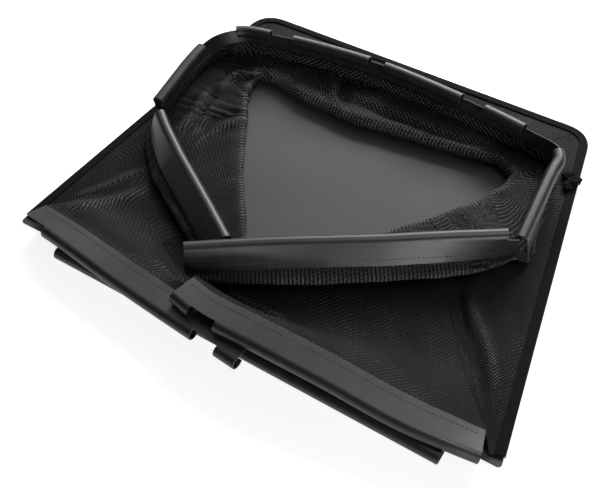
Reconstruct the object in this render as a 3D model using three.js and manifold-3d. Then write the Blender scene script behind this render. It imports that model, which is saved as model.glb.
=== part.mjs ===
// Soft grass collection bag for a walk-behind mower, lying collapsed on its own base sheet.
// Mesh walls are folded down between the base and six plastic clip rails, which snap onto a wire frame.
// Millimetres, +Z up. +X runs along the front (mouth) edge, +Y towards the back.
import * as THREE from "three";
import { mergeVertices } from "three/addons/utils/BufferGeometryUtils.js";
import Module from "manifold-3d";

const wasm = await Module();
wasm.setup();

// Clip rail section: a flat sewing flange that ends in a hook.
const RAIL_WALL = 1.4;
const FLANGE_WIDTH = 26;
const HOOK_DIAMETER = 15;
const HOOK_WRAP_DEG = 245;
const HOOK_FACETS = 8;

// Steps of a strip that is bent along a course.
const RAIL_STEP = 22;
const STRAIGHT_STEP = 120;
const BINDING_STEP = 60;
const STEP_TURN_DEG = 7;
const STEP_TWIST_DEG = 5;
const WELD_GAP = 1e-4;

// Cloth and base.
const CLOTH = 1.2;
const BASE_THICKNESS = 1.6;
const GAP = 0.3;
const SEW_GAP = 0.5;
const SEW_OVERLAP = 9;
const FREE_EDGE_MARGIN = 2;
const EDGE_INSET = 1.5;
const EDGE_ALLOWANCE = 6;
const PANEL_TRIM = 0.25;

// A side of the base sheet longer than this takes extra stops, so that its course stays straight.
const LONG_SIDE = 80;
const STRAIGHT_STOPS = [0.02, 0.5, 0.98];

// Base sheet outline.
const FRONT_WIDTH = 590;
const BACK_WIDTH = 480;
const BASE_DEPTH = 474;
const SIDE_SHIFT = 5;
const BACK_SHIFT = -22;
const BACK_CORNER_RADIUS = 36;
const FRONT_CORNER_RADIUS = 5;
const FRONT_EDGE_Y = -137;

// Edge binding along the left, back and right edges.
const BINDING_WALL = 1.2;
const BINDING_COVER = 9;
const CORNER_SEAM = 3;
const BINDING_START = 6;

// Folds of the collapsed walls.
const INNER_FOLD_RADIUS = 5.5;
const OUTER_FOLD_RADIUS = 2.6;
const BOTTOM_LIFT = 1;
const LEAST_ROLL_LIFT = 2.5;
const SHOULDER_REACH = 5;
const SHOULDER_DROP = 0.12;
const FALL_BOW = 0.1;
const BRIDGE_TUCK = 0.2;
const THIRDS = [0.33, 0.66];
const RIM_HEIGHT = 48;
const SIDE_RAIL_HEIGHT = 36;
const FRONT_RAIL_HEIGHT = 50;

// Notches and short end hooks where the mouth rails clear the frame's cross wire.
const NOTCH_LENGTH = 31;
const SHORT_HOOK = 26;
const LEFT_HOOK_START = 37;
const FRONT_HOOK_START = 12;
// Hooks and gaps of the back rail, in turn.
const BACK_HOOKS = [104, 62, 49, 32, 106, 22, 108, 32, 54, 56, 200];

const radians = THREE.MathUtils.degToRad;
const UP = new THREE.Vector3(0, 0, 1);

const HOOK_MID_RADIUS = (HOOK_DIAMETER - RAIL_WALL) / 2;
const LOWER_RAIL_Z = BASE_THICKNESS + GAP + RAIL_WALL / 2;
const MOUTH_LEFT_Z = LOWER_RAIL_Z + 2 * HOOK_DIAMETER - RAIL_WALL + GAP;
const MOUTH_RIGHT_Z = MOUTH_LEFT_Z + HOOK_DIAMETER + GAP;
const CLOTH_ON_BASE_Z = BASE_THICKNESS + GAP + CLOTH / 2;

// A rail's course: stations [x, y, z, tilt], joined by one smooth curve. A station is the line where the
// flange meets the hook. Tilt is the flange's rise towards the hook, in degrees.
class Course {
  constructor(stations) {
    this.curve = new THREE.CatmullRomCurve3(
      stations.map(([x, y, z]) => new THREE.Vector3(x, y, z)),
      false,
      "centripetal",
    );
    this.curve.arcLengthDivisions = 60 * stations.length;
    const lengths = this.curve.getLengths();
    const lastLength = lengths.length - 1;
    const lastStation = stations.length - 1;
    this.length = lengths[lastLength];
    this.tilts = stations.map((station) => station[3]);
    this.marks = stations.map((_, i) => lengths[Math.round((i / lastStation) * lastLength)]);
  }

  tiltAt(distance) {
    let i = 1;
    while (i < this.marks.length - 1 && this.marks[i] < distance) i += 1;
    const share = (distance - this.marks[i - 1]) / (this.marks[i] - this.marks[i - 1]);
    return THREE.MathUtils.lerp(this.tilts[i - 1], this.tilts[i], THREE.MathUtils.clamp(share, 0, 1));
  }

  // Along the rail: the join line's point, the unit vectors across the flange and towards the hook's
  // curl, and the level direction to the right of travel. Past its ends a course runs straight on.
  frameAt(distance) {
    const share = THREE.MathUtils.clamp(distance / this.length, 0, 1);
    const tangent = this.curve.getTangentAt(share);
    const side = new THREE.Vector3().crossVectors(tangent, UP).normalize();
    const rise = new THREE.Vector3().crossVectors(side, tangent);
    const tilt = radians(this.tiltAt(distance));
    const across = side.clone().multiplyScalar(Math.cos(tilt)).addScaledVector(rise, Math.sin(tilt));
    const curl = side.clone().multiplyScalar(Math.sin(tilt)).addScaledVector(rise, -Math.cos(tilt));
    const point = this.curve.getPointAt(share);
    point.addScaledVector(tangent, distance - share * this.length);
    return { point, side, across, curl };
  }

  place(distance, u, v) {
    const { point, across, curl } = this.frameAt(distance);
    return point.addScaledVector(across, u).addScaledVector(curl, v);
  }

  // Distances at which a bent strip is stepped: close together where the course turns.
  stops(longest) {
    const found = [0];
    for (let i = 1; i < this.marks.length; i += 1) {
      const turn = this.frameAt(this.marks[i - 1]).side.angleTo(this.frameAt(this.marks[i]).side);
      const twist = Math.abs(this.tilts[i] - this.tilts[i - 1]);
      const pieces = Math.max(
        Math.ceil((this.marks[i] - this.marks[i - 1]) / longest),
        Math.ceil(THREE.MathUtils.radToDeg(turn) / STEP_TURN_DEG),
        Math.ceil(twist / STEP_TWIST_DEG),
      );
      for (let j = 1; j <= pieces; j += 1)
        found.push(THREE.MathUtils.lerp(this.marks[i - 1], this.marks[i], j / pieces));
    }
    return found;
  }
}

const LEFT_RAIL = new Course([
  [-60, -64, SIDE_RAIL_HEIGHT, 45],
  [-101, -36, SIDE_RAIL_HEIGHT, 44],
  [-182, 17, SIDE_RAIL_HEIGHT, 44],
  [-222, 44, SIDE_RAIL_HEIGHT, 60],
  [-242, 59, SIDE_RAIL_HEIGHT, 72],
]);
const BACK_RAIL = new Course([
  [-256, 76, RIM_HEIGHT - 10, 100],
  [-261, 176, RIM_HEIGHT, 108],
  [-255, 216, RIM_HEIGHT, 108],
  [-233, 241, RIM_HEIGHT, 108],
  [-196, 252, RIM_HEIGHT, 110],
  [-58, 271, RIM_HEIGHT, 112],
  [72, 266, RIM_HEIGHT, 112],
  [165, 254, RIM_HEIGHT, 110],
  [200, 246, RIM_HEIGHT, 104],
  [215, 226, RIM_HEIGHT, 98],
  [216, 200, RIM_HEIGHT - 1, 94],
  [223, 97, RIM_HEIGHT - 6, 80],
]);
const FRONT_RAIL = new Course([
  [216, 91, FRONT_RAIL_HEIGHT - 3, 98],
  [181, 68, FRONT_RAIL_HEIGHT - 1, 76],
  [150, 48, FRONT_RAIL_HEIGHT, 64],
  [96, 12, FRONT_RAIL_HEIGHT, 54],
  [45, -21, FRONT_RAIL_HEIGHT, 52],
  [-5, -55, FRONT_RAIL_HEIGHT, 58],
  [-76, -108, FRONT_RAIL_HEIGHT, 74],
]);
const MOUTH_RAIL_LEFT = new Course([
  [-275, -137, MOUTH_LEFT_Z - 9, 14],
  [-236, -144, MOUTH_LEFT_Z - 2, 12],
  [-205, -149, MOUTH_LEFT_Z, 8],
  [-120, -162, MOUTH_LEFT_Z, 0],
  [37, -179, MOUTH_LEFT_Z, 0],
]);
const MOUTH_RAIL_RIGHT = new Course([
  [-56, -153, MOUTH_RIGHT_Z, 2],
  [-22, -160, MOUTH_RIGHT_Z, 0],
  [44, -161, MOUTH_RIGHT_Z, -4],
  [120, -159, MOUTH_RIGHT_Z - 5, -5],
  [202, -157, MOUTH_RIGHT_Z - 13, -5],
  [245, -151, MOUTH_RIGHT_Z - 17, 2],
  [280, -143, MOUTH_RIGHT_Z - 23, 10],
]);
const MOUTH_RAIL_LOWER = new Course([
  [-217, -154, LOWER_RAIL_Z, 0],
  [248, -160, LOWER_RAIL_Z, 0],
]);

// Closed outline of the rail's section: flange along -u, hook round the +v side of its end.
// hookSide -1 turns the hook to the other face.
function railSection(hookSide) {
  const half = RAIL_WALL / 2;
  const wrap = radians(HOOK_WRAP_DEG);
  const outline = [new THREE.Vector2(-FLANGE_WIDTH, half), new THREE.Vector2(-FLANGE_WIDTH, -half)];
  const arcPoint = (radius, share) => {
    const angle = -Math.PI / 2 + wrap * share;
    return new THREE.Vector2(radius * Math.cos(angle), HOOK_MID_RADIUS + radius * Math.sin(angle));
  };
  for (let i = 0; i <= HOOK_FACETS; i += 1) outline.push(arcPoint(HOOK_MID_RADIUS + half, i / HOOK_FACETS));
  for (let i = HOOK_FACETS; i >= 0; i -= 1) outline.push(arcPoint(HOOK_MID_RADIUS - half, i / HOOK_FACETS));
  outline.forEach((point) => point.setY(point.y * hookSide));
  return new THREE.Shape(outline);
}

// Section of what a notch takes away: the whole hook, and nothing of the flange.
function notchSection(hookSide) {
  const reach = HOOK_DIAMETER;
  const depth = HOOK_DIAMETER + RAIL_WALL;
  const corners = [
    [0, -2 * RAIL_WALL],
    [reach, -2 * RAIL_WALL],
    [reach, depth],
    [-reach, depth],
    [-reach, RAIL_WALL],
    [0, RAIL_WALL],
  ];
  return new THREE.Shape(corners.map(([u, v]) => new THREE.Vector2(u, v * hookSide)));
}

// Extrudes a section in a straight line, one step for each stop, and bends it along the course.
function bentAlong(course, section, stops) {
  const strip = new THREE.ExtrudeGeometry(section, {
    depth: stops.length - 1,
    steps: stops.length - 1,
    bevelEnabled: false,
  });
  const positions = strip.getAttribute("position");
  for (let i = 0; i < positions.count; i += 1) {
    const distance = stops[Math.round(positions.getZ(i))];
    const placed = course.place(distance, positions.getX(i), positions.getY(i));
    positions.setXYZ(i, placed.x, placed.y, placed.z);
  }
  return strip;
}

function toSolid(geometry) {
  const bare = geometry.clone();
  bare.deleteAttribute("normal");
  bare.deleteAttribute("uv");
  const merged = mergeVertices(bare, WELD_GAP);
  return new wasm.Manifold(
    new wasm.Mesh({
      numProp: 3,
      vertProperties: merged.getAttribute("position").array,
      triVerts: new Uint32Array(merged.index.array),
    }),
  );
}

function fromSolid(solid) {
  const mesh = solid.getMesh();
  const geometry = new THREE.BufferGeometry();
  geometry.setAttribute("position", new THREE.BufferAttribute(mesh.vertProperties, 3));
  geometry.setIndex(new THREE.BufferAttribute(mesh.triVerts, 1));
  const flat = geometry.toNonIndexed();
  flat.computeVertexNormals();
  return flat;
}

// A clip rail: the full section along its course, with the hook cut away between the hook runs.
function clipRail(course, hooks, hookSide = 1, longestStop = RAIL_STEP) {
  let solid = toSolid(bentAlong(course, railSection(hookSide), course.stops(longestStop)));
  const overrun = 2 * RAIL_WALL;
  const bounds = [-overrun, ...hooks.flat(), course.length + overrun];
  for (let i = 0; i < bounds.length; i += 2) {
    const [from, to] = [bounds[i], bounds[i + 1]];
    if (from >= course.length || to <= 0) continue;
    const stops = [from, ...course.stops(longestStop).filter((s) => s > from + 0.5 && s < to - 0.5), to];
    solid = solid.subtract(toSolid(bentAlong(course, notchSection(hookSide), stops)));
  }
  return fromSolid(solid);
}

// Runs of hook along a course, from a list of alternating hook and gap lengths.
function hookRuns(start, lengths) {
  const runs = [];
  let at = start;
  lengths.forEach((length, i) => {
    if (i % 2 === 0) runs.push([at, at + length]);
    at += length;
  });
  return runs;
}

// The base sheet's four corners, from the front left one round the back.
function baseCorners() {
  const backEdgeY = FRONT_EDGE_Y + BASE_DEPTH;
  const frontLeft = new THREE.Vector2(SIDE_SHIFT - FRONT_WIDTH / 2, FRONT_EDGE_Y);
  const frontRight = new THREE.Vector2(SIDE_SHIFT + FRONT_WIDTH / 2, FRONT_EDGE_Y);
  const backRight = new THREE.Vector2(BACK_SHIFT + BACK_WIDTH / 2, backEdgeY);
  const backLeft = new THREE.Vector2(BACK_SHIFT - BACK_WIDTH / 2, backEdgeY);
  return [frontLeft, backLeft, backRight, frontRight];
}

// Rounds a corner: the points of the fillet between two straight edges.
function fillet(before, corner, after, radius, facets) {
  const inward = before.clone().sub(corner).normalize();
  const outward = after.clone().sub(corner).normalize();
  const halfAngle = Math.acos(THREE.MathUtils.clamp(inward.dot(outward), -1, 1)) / 2;
  const reach = radius / Math.tan(halfAngle);
  const start = corner.clone().addScaledVector(inward, reach);
  const end = corner.clone().addScaledVector(outward, reach);
  const arc = new THREE.QuadraticBezierCurve(start, corner, end);
  return arc.getPoints(facets);
}

function baseOutline() {
  const [frontLeft, backLeft, backRight, frontRight] = baseCorners();
  return [
    ...fillet(frontRight, frontLeft, backLeft, FRONT_CORNER_RADIUS, 2),
    ...fillet(frontLeft, backLeft, backRight, BACK_CORNER_RADIUS, 7),
    ...fillet(backLeft, backRight, frontRight, BACK_CORNER_RADIUS, 7),
    ...fillet(backRight, frontRight, frontLeft, FRONT_CORNER_RADIUS, 2),
  ];
}

function baseSheet() {
  return new THREE.ExtrudeGeometry(new THREE.Shape(baseOutline()), {
    depth: BASE_THICKNESS,
    bevelEnabled: false,
  });
}

// A course that follows the base sheet's edge, for the binding and the sewn edge of the walls.
const EDGE = new Course(
  baseOutline()
    .slice(2, -2)
    .flatMap((point, i, all) => {
      const here = [point.x, point.y, 0, 0];
      const next = all[i + 1];
      if (!next || point.distanceTo(next) < LONG_SIDE) return [here];
      const straight = STRAIGHT_STOPS.map((share) => {
        const stop = point.clone().lerp(next, share);
        return [stop.x, stop.y, 0, 0];
      });
      return [here, ...straight];
    }),
);

// The edge binding folds over the walls' sewn edge and hides the base sheet's rim.
function edgeBinding() {
  const top = BASE_THICKNESS + 2 * GAP + CLOTH;
  const section = new THREE.Shape([
    new THREE.Vector2(-GAP - BINDING_WALL, 0),
    new THREE.Vector2(-GAP, 0),
    new THREE.Vector2(-GAP, -top),
    new THREE.Vector2(BINDING_COVER, -top),
    new THREE.Vector2(BINDING_COVER, -top - BINDING_WALL),
    new THREE.Vector2(-GAP - BINDING_WALL, -top - BINDING_WALL),
  ]);
  const bindingEnd = EDGE.length - BINDING_START;
  const stops = EDGE.stops(BINDING_STEP).filter((stop) => stop > BINDING_START && stop < bindingEnd);
  return bentAlong(EDGE, section, [BINDING_START, ...stops, bindingEnd]);
}

// Where the cloth is sewn under a rail: two points across the flange's hook side.
function sewnToRail(course, distance) {
  const depth = RAIL_WALL / 2 + SEW_GAP + CLOTH / 2;
  return {
    tucked: course.place(distance, -FLANGE_WIDTH + SEW_OVERLAP, depth),
    edge: course.place(distance, -FLANGE_WIDTH - FREE_EDGE_MARGIN, depth),
    outward: course.frameAt(distance).side.negate(),
  };
}

// Where the cloth is sewn along the base sheet's edge.
function sewnToBase(distance) {
  return {
    tucked: EDGE.place(distance, EDGE_INSET, -CLOTH_ON_BASE_Z),
    edge: EDGE.place(distance, BINDING_COVER + EDGE_ALLOWANCE, -CLOTH_ON_BASE_Z),
  };
}

// A wall's seam runs on a little past the end of a rail.
const SEAM_OVERRUN = 1;
const LEFT_END = LEFT_RAIL.length + SEAM_OVERRUN;
const BACK_END = BACK_RAIL.length + SEAM_OVERRUN;
const FRONT_END = FRONT_RAIL.length + SEAM_OVERRUN;
const RIGHT_END = MOUTH_RAIL_RIGHT.length + SEAM_OVERRUN;
const EDGE_END = EDGE.length - CORNER_SEAM;

// Stations round the walls, clockwise from the front left corner seam. Each has the rim rail and the distance
// along it, the outer course and the distance along it, where the inner fold lies, and how far
// in from the outer edge the bottom layer comes down to the base.
const WALL_STATIONS = [
  { rim: LEFT_RAIL, at: -1, outer: MOUTH_RAIL_LEFT, out: 214, inner: [-48, -42], foot: 0.3, roll: 2 },
  { rim: LEFT_RAIL, at: 60, outer: MOUTH_RAIL_LEFT, out: 146, inner: [-80, 1], foot: 0.35, roll: 8 },
  { rim: LEFT_RAIL, at: 130, outer: MOUTH_RAIL_LEFT, out: 78, inner: [-114, 50], foot: 0.35, roll: 10 },
  { rim: LEFT_RAIL, at: LEFT_END, outer: MOUTH_RAIL_LEFT, out: -1, inner: [-144, 98], foot: 0.3, roll: 6 },
  { rim: BACK_RAIL, at: -1, outer: EDGE, out: CORNER_SEAM, inner: [-160, 127], foot: 0.2, roll: 3 },
  { rim: BACK_RAIL, at: 50, outer: EDGE, out: 150, inner: [-173, 148], foot: 0.2, roll: 3 },
  { rim: BACK_RAIL, at: 104, outer: EDGE, out: 270, inner: [-187, 170], foot: 0.2, roll: 3 },
  { rim: BACK_RAIL, at: 134, outer: EDGE, out: 390, inner: [-190, 191], foot: 0.25, roll: 3 },
  { rim: BACK_RAIL, at: 160, outer: EDGE, out: 462, inner: [-190, 212], foot: 0.3, roll: 3 },
  { rim: BACK_RAIL, at: 196, outer: EDGE, out: 520, inner: [-167, 214], foot: 0.3, roll: 3 },
  { rim: BACK_RAIL, at: 280, outer: EDGE, out: 610, inner: [-118, 203], foot: 0.3, roll: 3 },
  { rim: BACK_RAIL, at: 360, outer: EDGE, out: 700, inner: [-46, 198], foot: 0.3, roll: 3 },
  { rim: BACK_RAIL, at: 440, outer: EDGE, out: 790, inner: [24, 208], foot: 0.3, roll: 3 },
  { rim: BACK_RAIL, at: 520, outer: EDGE, out: 870, inner: [104, 217], foot: 0.3, roll: 3 },
  { rim: BACK_RAIL, at: 556, outer: EDGE, out: 920, inner: [142, 226], foot: 0.3, roll: 3 },
  { rim: BACK_RAIL, at: 590, outer: EDGE, out: 980, inner: [168, 212], foot: 0.3, roll: 3 },
  { rim: BACK_RAIL, at: 640, outer: EDGE, out: 1080, inner: [167, 184], foot: 0.3, roll: 3 },
  { rim: BACK_RAIL, at: BACK_END, outer: EDGE, out: 1190, inner: [154, 155], foot: 0.3, roll: 3 },
  { rim: FRONT_RAIL, at: -1, outer: EDGE, out: 1290, inner: [139, 131], foot: 0.3, roll: 4 },
  { rim: FRONT_RAIL, at: 26, outer: EDGE, out: EDGE_END, inner: [126, 113], foot: 0.3, roll: 7 },
  { rim: FRONT_RAIL, at: 50, outer: MOUTH_RAIL_RIGHT, out: RIGHT_END, inner: [112, 93], foot: 0.4, roll: 9 },
  { rim: FRONT_RAIL, at: 110, outer: MOUTH_RAIL_RIGHT, out: 260, inner: [78, 46], foot: 0.4, roll: 11 },
  { rim: FRONT_RAIL, at: 200, outer: MOUTH_RAIL_RIGHT, out: 168, inner: [28, 6], foot: 0.35, roll: 11 },
  { rim: FRONT_RAIL, at: 290, outer: MOUTH_RAIL_RIGHT, out: 76, inner: [-20, -34], foot: 0.25, roll: 9 },
  { rim: FRONT_RAIL, at: FRONT_END, outer: MOUTH_RAIL_RIGHT, out: -1, inner: [-38, -45], foot: 0.25, roll: 4 },
];

// Stations where one wall panel is sewn to the next, from the mouth's left side round to it again.
const SEAM_STATIONS = [0, 8, 14, 20, 25];
const SAMPLES_PER_STATION = 4;
const SAMPLE_SHARES = [0, 0.25, 0.5, 0.75];
const LAST_SHARES = [0, 0.35, 0.7, 0.95];

const mix = (a, b, share) => a.clone().lerp(b, share);

function sewnOuter(course, distance) {
  return course === EDGE ? sewnToBase(distance) : sewnToRail(course, distance);
}

// Both sewn edges between two stations. A step from one course to the next is bridged in a straight line.
function sewnBetween(here, next, share) {
  const rim = (station, at) => sewnToRail(station.rim, at);
  const bridge = (a, b, blend) => ({
    tucked: mix(a.tucked, b.tucked, blend),
    edge: mix(a.edge, b.edge, blend),
    outward: a.outward ? mix(a.outward, b.outward, blend).normalize() : undefined,
  });
  const along = (from, to) => THREE.MathUtils.lerp(from, to, share);
  const rimSeam =
    here.rim === next.rim
      ? rim(here, along(here.at, next.at))
      : bridge(rim(here, here.at), rim(next, next.at), share);
  const outerEnds = [sewnOuter(here.outer, here.out), sewnOuter(next.outer, next.out)];
  outerEnds.forEach((end) => {
    end.outward = undefined;
  });
  const outerSeam =
    here.outer === next.outer
      ? sewnOuter(here.outer, along(here.out, next.out))
      : bridge(outerEnds[0], outerEnds[1], share);
  if (here.outer !== next.outer && share > 0)
    outerSeam.tucked = mix(outerSeam.edge, outerSeam.tucked, BRIDGE_TUCK);
  return { rimSeam, outerSeam };
}

// One cut through a folded wall, from the outer sewn edge to the rim: a bottom layer that lies on the base,
// the inner fold, a middle layer back out, the outer fold, and the strip sewn under the rim rail.
function wallCut(here, next, share) {
  const { rimSeam, outerSeam } = sewnBetween(here, next, share);
  const ease = share * share * (3 - 2 * share);
  const value = (key) => THREE.MathUtils.lerp(here[key], next[key], ease);
  const bottomZ = CLOTH_ON_BASE_Z + BOTTOM_LIFT;
  const from = outerSeam.edge.clone();
  const to = new THREE.Vector3(
    THREE.MathUtils.lerp(here.inner[0], next.inner[0], share),
    THREE.MathUtils.lerp(here.inner[1], next.inner[1], share),
    bottomZ,
  );
  const inwards = to.clone().sub(from).setZ(0).normalize();
  const foot = mix(from, to, value("foot")).setZ(bottomZ);
  const shoulder = from.clone().addScaledVector(inwards, SHOULDER_REACH);
  shoulder.z -= SHOULDER_DROP * (from.z - bottomZ);
  const fall = THIRDS.map((step) => mix(shoulder, foot, step));
  fall.forEach((point, i) => {
    const bow = i === 0 ? FALL_BOW : -FALL_BOW;
    point.z += bow * (from.z - bottomZ);
  });
  const cut = [outerSeam.tucked, outerSeam.edge, shoulder, ...fall, foot];
  cut.push(...THIRDS.map((step) => mix(foot, to, step)));
  for (const angle of [-90, -45, 0, 45, 90]) {
    const turn = radians(angle);
    const point = to.clone().addScaledVector(inwards, INNER_FOLD_RADIUS * Math.cos(turn));
    point.z = bottomZ + INNER_FOLD_RADIUS * (1 + Math.sin(turn));
    cut.push(point);
  }
  const rollOut = rimSeam.edge.clone().addScaledVector(rimSeam.outward, value("roll"));
  const rollZ = Math.max(rimSeam.edge.z - 2 * OUTER_FOLD_RADIUS, bottomZ + LEAST_ROLL_LIFT);
  const rollBottom = rollOut.clone().setZ(rollZ);
  const top = cut.at(-1);
  cut.push(...THIRDS.map((step) => mix(top, rollBottom, step)));
  for (const angle of [-90, 0]) {
    const turn = radians(angle);
    const point = rollBottom.clone().addScaledVector(rimSeam.outward, OUTER_FOLD_RADIUS * Math.cos(turn));
    point.z = rollZ + OUTER_FOLD_RADIUS * (1 + Math.sin(turn));
    cut.push(point);
  }
  cut.push(rimSeam.edge, rimSeam.tucked);
  return cut;
}

// Every cut round the bag, in order; the last is followed by the first again.
function wallCuts() {
  const cuts = [];
  WALL_STATIONS.forEach((here, i) => {
    const next = WALL_STATIONS[(i + 1) % WALL_STATIONS.length];
    const shares = i === WALL_STATIONS.length - 1 ? LAST_SHARES : SAMPLE_SHARES;
    shares.forEach((share) => cuts.push(wallCut(here, next, share)));
  });
  return cuts;
}

// Unit normals of the closed ring of cuts, on the side away from the base in the bottom layer.
function cutNormals(cuts) {
  const count = cuts.length;
  return cuts.map((cut, i) =>
    cut.map((_, k) => {
      const before = cuts[(i + count - 1) % count][k];
      const after = cuts[(i + 1) % count][k];
      const lower = cut[Math.max(k - 1, 0)];
      const upper = cut[Math.min(k + 1, cut.length - 1)];
      const along = after.clone().sub(before);
      const across = upper.clone().sub(lower);
      return across.cross(along).normalize();
    }),
  );
}

// A panel of the walls as a closed sheet of cloth, from one cut to another.
function wallPanel(cuts, normals, first, last) {
  const positions = [];
  const rows = cuts[0].length;
  const columns = last - first + 1;
  const pointAt = (column, row, side) => {
    const count = cuts.length;
    const i = (first + column) % count;
    const point = cuts[i][row].clone().addScaledVector(normals[i][row], (side * CLOTH) / 2);
    const inner = column === 0 ? 1 : column === columns - 1 ? -1 : 0;
    if (inner !== 0) {
      const toward = cuts[(i + inner + count) % count][row].clone().sub(cuts[i][row]).normalize();
      point.addScaledVector(toward, PANEL_TRIM);
    }
    return point;
  };
  const quad = (a, b, c, d) => {
    for (const corner of [a, b, c, a, c, d]) positions.push(corner.x, corner.y, corner.z);
  };
  for (let c = 0; c < columns - 1; c += 1)
    for (let r = 0; r < rows - 1; r += 1) {
      quad(pointAt(c, r, 1), pointAt(c, r + 1, 1), pointAt(c + 1, r + 1, 1), pointAt(c + 1, r, 1));
      quad(pointAt(c, r, -1), pointAt(c + 1, r, -1), pointAt(c + 1, r + 1, -1), pointAt(c, r + 1, -1));
    }
  for (let c = 0; c < columns - 1; c += 1) {
    quad(pointAt(c, 0, -1), pointAt(c, 0, 1), pointAt(c + 1, 0, 1), pointAt(c + 1, 0, -1));
    quad(
      pointAt(c, rows - 1, -1),
      pointAt(c + 1, rows - 1, -1),
      pointAt(c + 1, rows - 1, 1),
      pointAt(c, rows - 1, 1),
    );
  }
  for (let r = 0; r < rows - 1; r += 1) {
    quad(pointAt(0, r, -1), pointAt(0, r + 1, -1), pointAt(0, r + 1, 1), pointAt(0, r, 1));
    const end = columns - 1;
    quad(pointAt(end, r, -1), pointAt(end, r, 1), pointAt(end, r + 1, 1), pointAt(end, r + 1, -1));
  }
  const geometry = new THREE.BufferGeometry();
  geometry.setAttribute("position", new THREE.Float32BufferAttribute(positions, 3));
  geometry.computeVertexNormals();
  return geometry;
}

const PLASTIC = { color: 0x1b1b1c, roughness: 0.38, metalness: 0 };
const MESH_CLOTH = { color: 0x24231f, roughness: 0.85, metalness: 0 };
const COATED_SHEET = { color: 0x5a595b, roughness: 0.6, metalness: 0 };
const TAPE = { color: 0x1e1d1b, roughness: 0.9, metalness: 0 };

const bag = new THREE.Group();

function addPiece(name, geometry, finish) {
  const mesh = new THREE.Mesh(geometry, new THREE.MeshStandardMaterial(finish));
  mesh.name = name;
  bag.add(mesh);
}

addPiece("base_sheet", baseSheet(), COATED_SHEET);
addPiece("edge_binding", edgeBinding(), TAPE);

const cuts = wallCuts();
const normals = cutNormals(cuts);
const [leftSeam, backSeam, rightSeam, frontSeam, lastSeam] = SEAM_STATIONS.map(
  (station) => station * SAMPLES_PER_STATION,
);
addPiece("left_side_panel", wallPanel(cuts, normals, leftSeam, backSeam), MESH_CLOTH);
addPiece("back_wall_panel", wallPanel(cuts, normals, backSeam, rightSeam), MESH_CLOTH);
addPiece("right_side_panel", wallPanel(cuts, normals, rightSeam, frontSeam), MESH_CLOTH);
addPiece("front_top_panel", wallPanel(cuts, normals, frontSeam, lastSeam - 1), MESH_CLOTH);

addPiece("rim_rail_left", clipRail(LEFT_RAIL, [[0, LEFT_RAIL.length]]), PLASTIC);
addPiece("rim_rail_back", clipRail(BACK_RAIL, hookRuns(0, BACK_HOOKS)), PLASTIC);
addPiece("rim_rail_front", clipRail(FRONT_RAIL, [[FRONT_HOOK_START, FRONT_RAIL.length]]), PLASTIC);

const leftLongHook = MOUTH_RAIL_LEFT.length - LEFT_HOOK_START - NOTCH_LENGTH - SHORT_HOOK;
const leftHooks = hookRuns(LEFT_HOOK_START, [leftLongHook, NOTCH_LENGTH, SHORT_HOOK]);
const rightHooks = hookRuns(0, [SHORT_HOOK, NOTCH_LENGTH, MOUTH_RAIL_RIGHT.length]);
const lowerHook = [[0, MOUTH_RAIL_LOWER.length]];
addPiece("mouth_rail_upper_left", clipRail(MOUTH_RAIL_LEFT, leftHooks), PLASTIC);
addPiece("mouth_rail_upper_right", clipRail(MOUTH_RAIL_RIGHT, rightHooks), PLASTIC);
addPiece("mouth_rail_lower", clipRail(MOUTH_RAIL_LOWER, lowerHook, -1, STRAIGHT_STEP), PLASTIC);

// The origin is the middle of the footprint, on the surface that the bag lies on.
const extent = new THREE.Box3().setFromObject(bag);
const middle = extent.getCenter(new THREE.Vector3());
bag.position.set(-middle.x, -middle.y, -extent.min.z);

export default bag;
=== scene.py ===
"""Mower grass collection bag, collapsed on its base sheet: the dressed model and its studio.

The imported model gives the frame. Sizes below are in millimetres in the part's own coordinates,
whose origin is on the floor; Place.shift moves them to the frame's origin and to metres.
"""

import logging
import math
from dataclasses import dataclass, field
from enum import Enum
from typing import Callable, Sequence

import bmesh
import bpy
import numpy as np
from mathutils import Matrix, Vector, noise


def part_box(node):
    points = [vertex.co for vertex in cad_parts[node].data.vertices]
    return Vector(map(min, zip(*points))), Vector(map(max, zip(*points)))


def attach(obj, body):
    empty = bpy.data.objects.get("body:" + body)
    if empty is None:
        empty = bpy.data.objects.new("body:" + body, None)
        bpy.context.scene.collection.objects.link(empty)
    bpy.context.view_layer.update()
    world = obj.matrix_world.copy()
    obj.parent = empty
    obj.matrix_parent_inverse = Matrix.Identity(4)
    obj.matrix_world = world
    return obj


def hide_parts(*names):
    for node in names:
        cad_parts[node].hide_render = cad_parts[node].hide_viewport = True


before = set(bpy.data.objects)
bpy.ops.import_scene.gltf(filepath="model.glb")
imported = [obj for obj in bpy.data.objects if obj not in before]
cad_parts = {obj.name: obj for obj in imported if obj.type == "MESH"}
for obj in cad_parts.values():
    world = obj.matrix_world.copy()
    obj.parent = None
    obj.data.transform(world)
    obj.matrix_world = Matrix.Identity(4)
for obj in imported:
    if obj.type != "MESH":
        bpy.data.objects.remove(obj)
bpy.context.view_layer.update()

MM = 0.001
UP = np.array([0.0, 0.0, 1.0])
LOG = logging.getLogger("grass_bag")
Socket = bpy.types.NodeSocket

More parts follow.
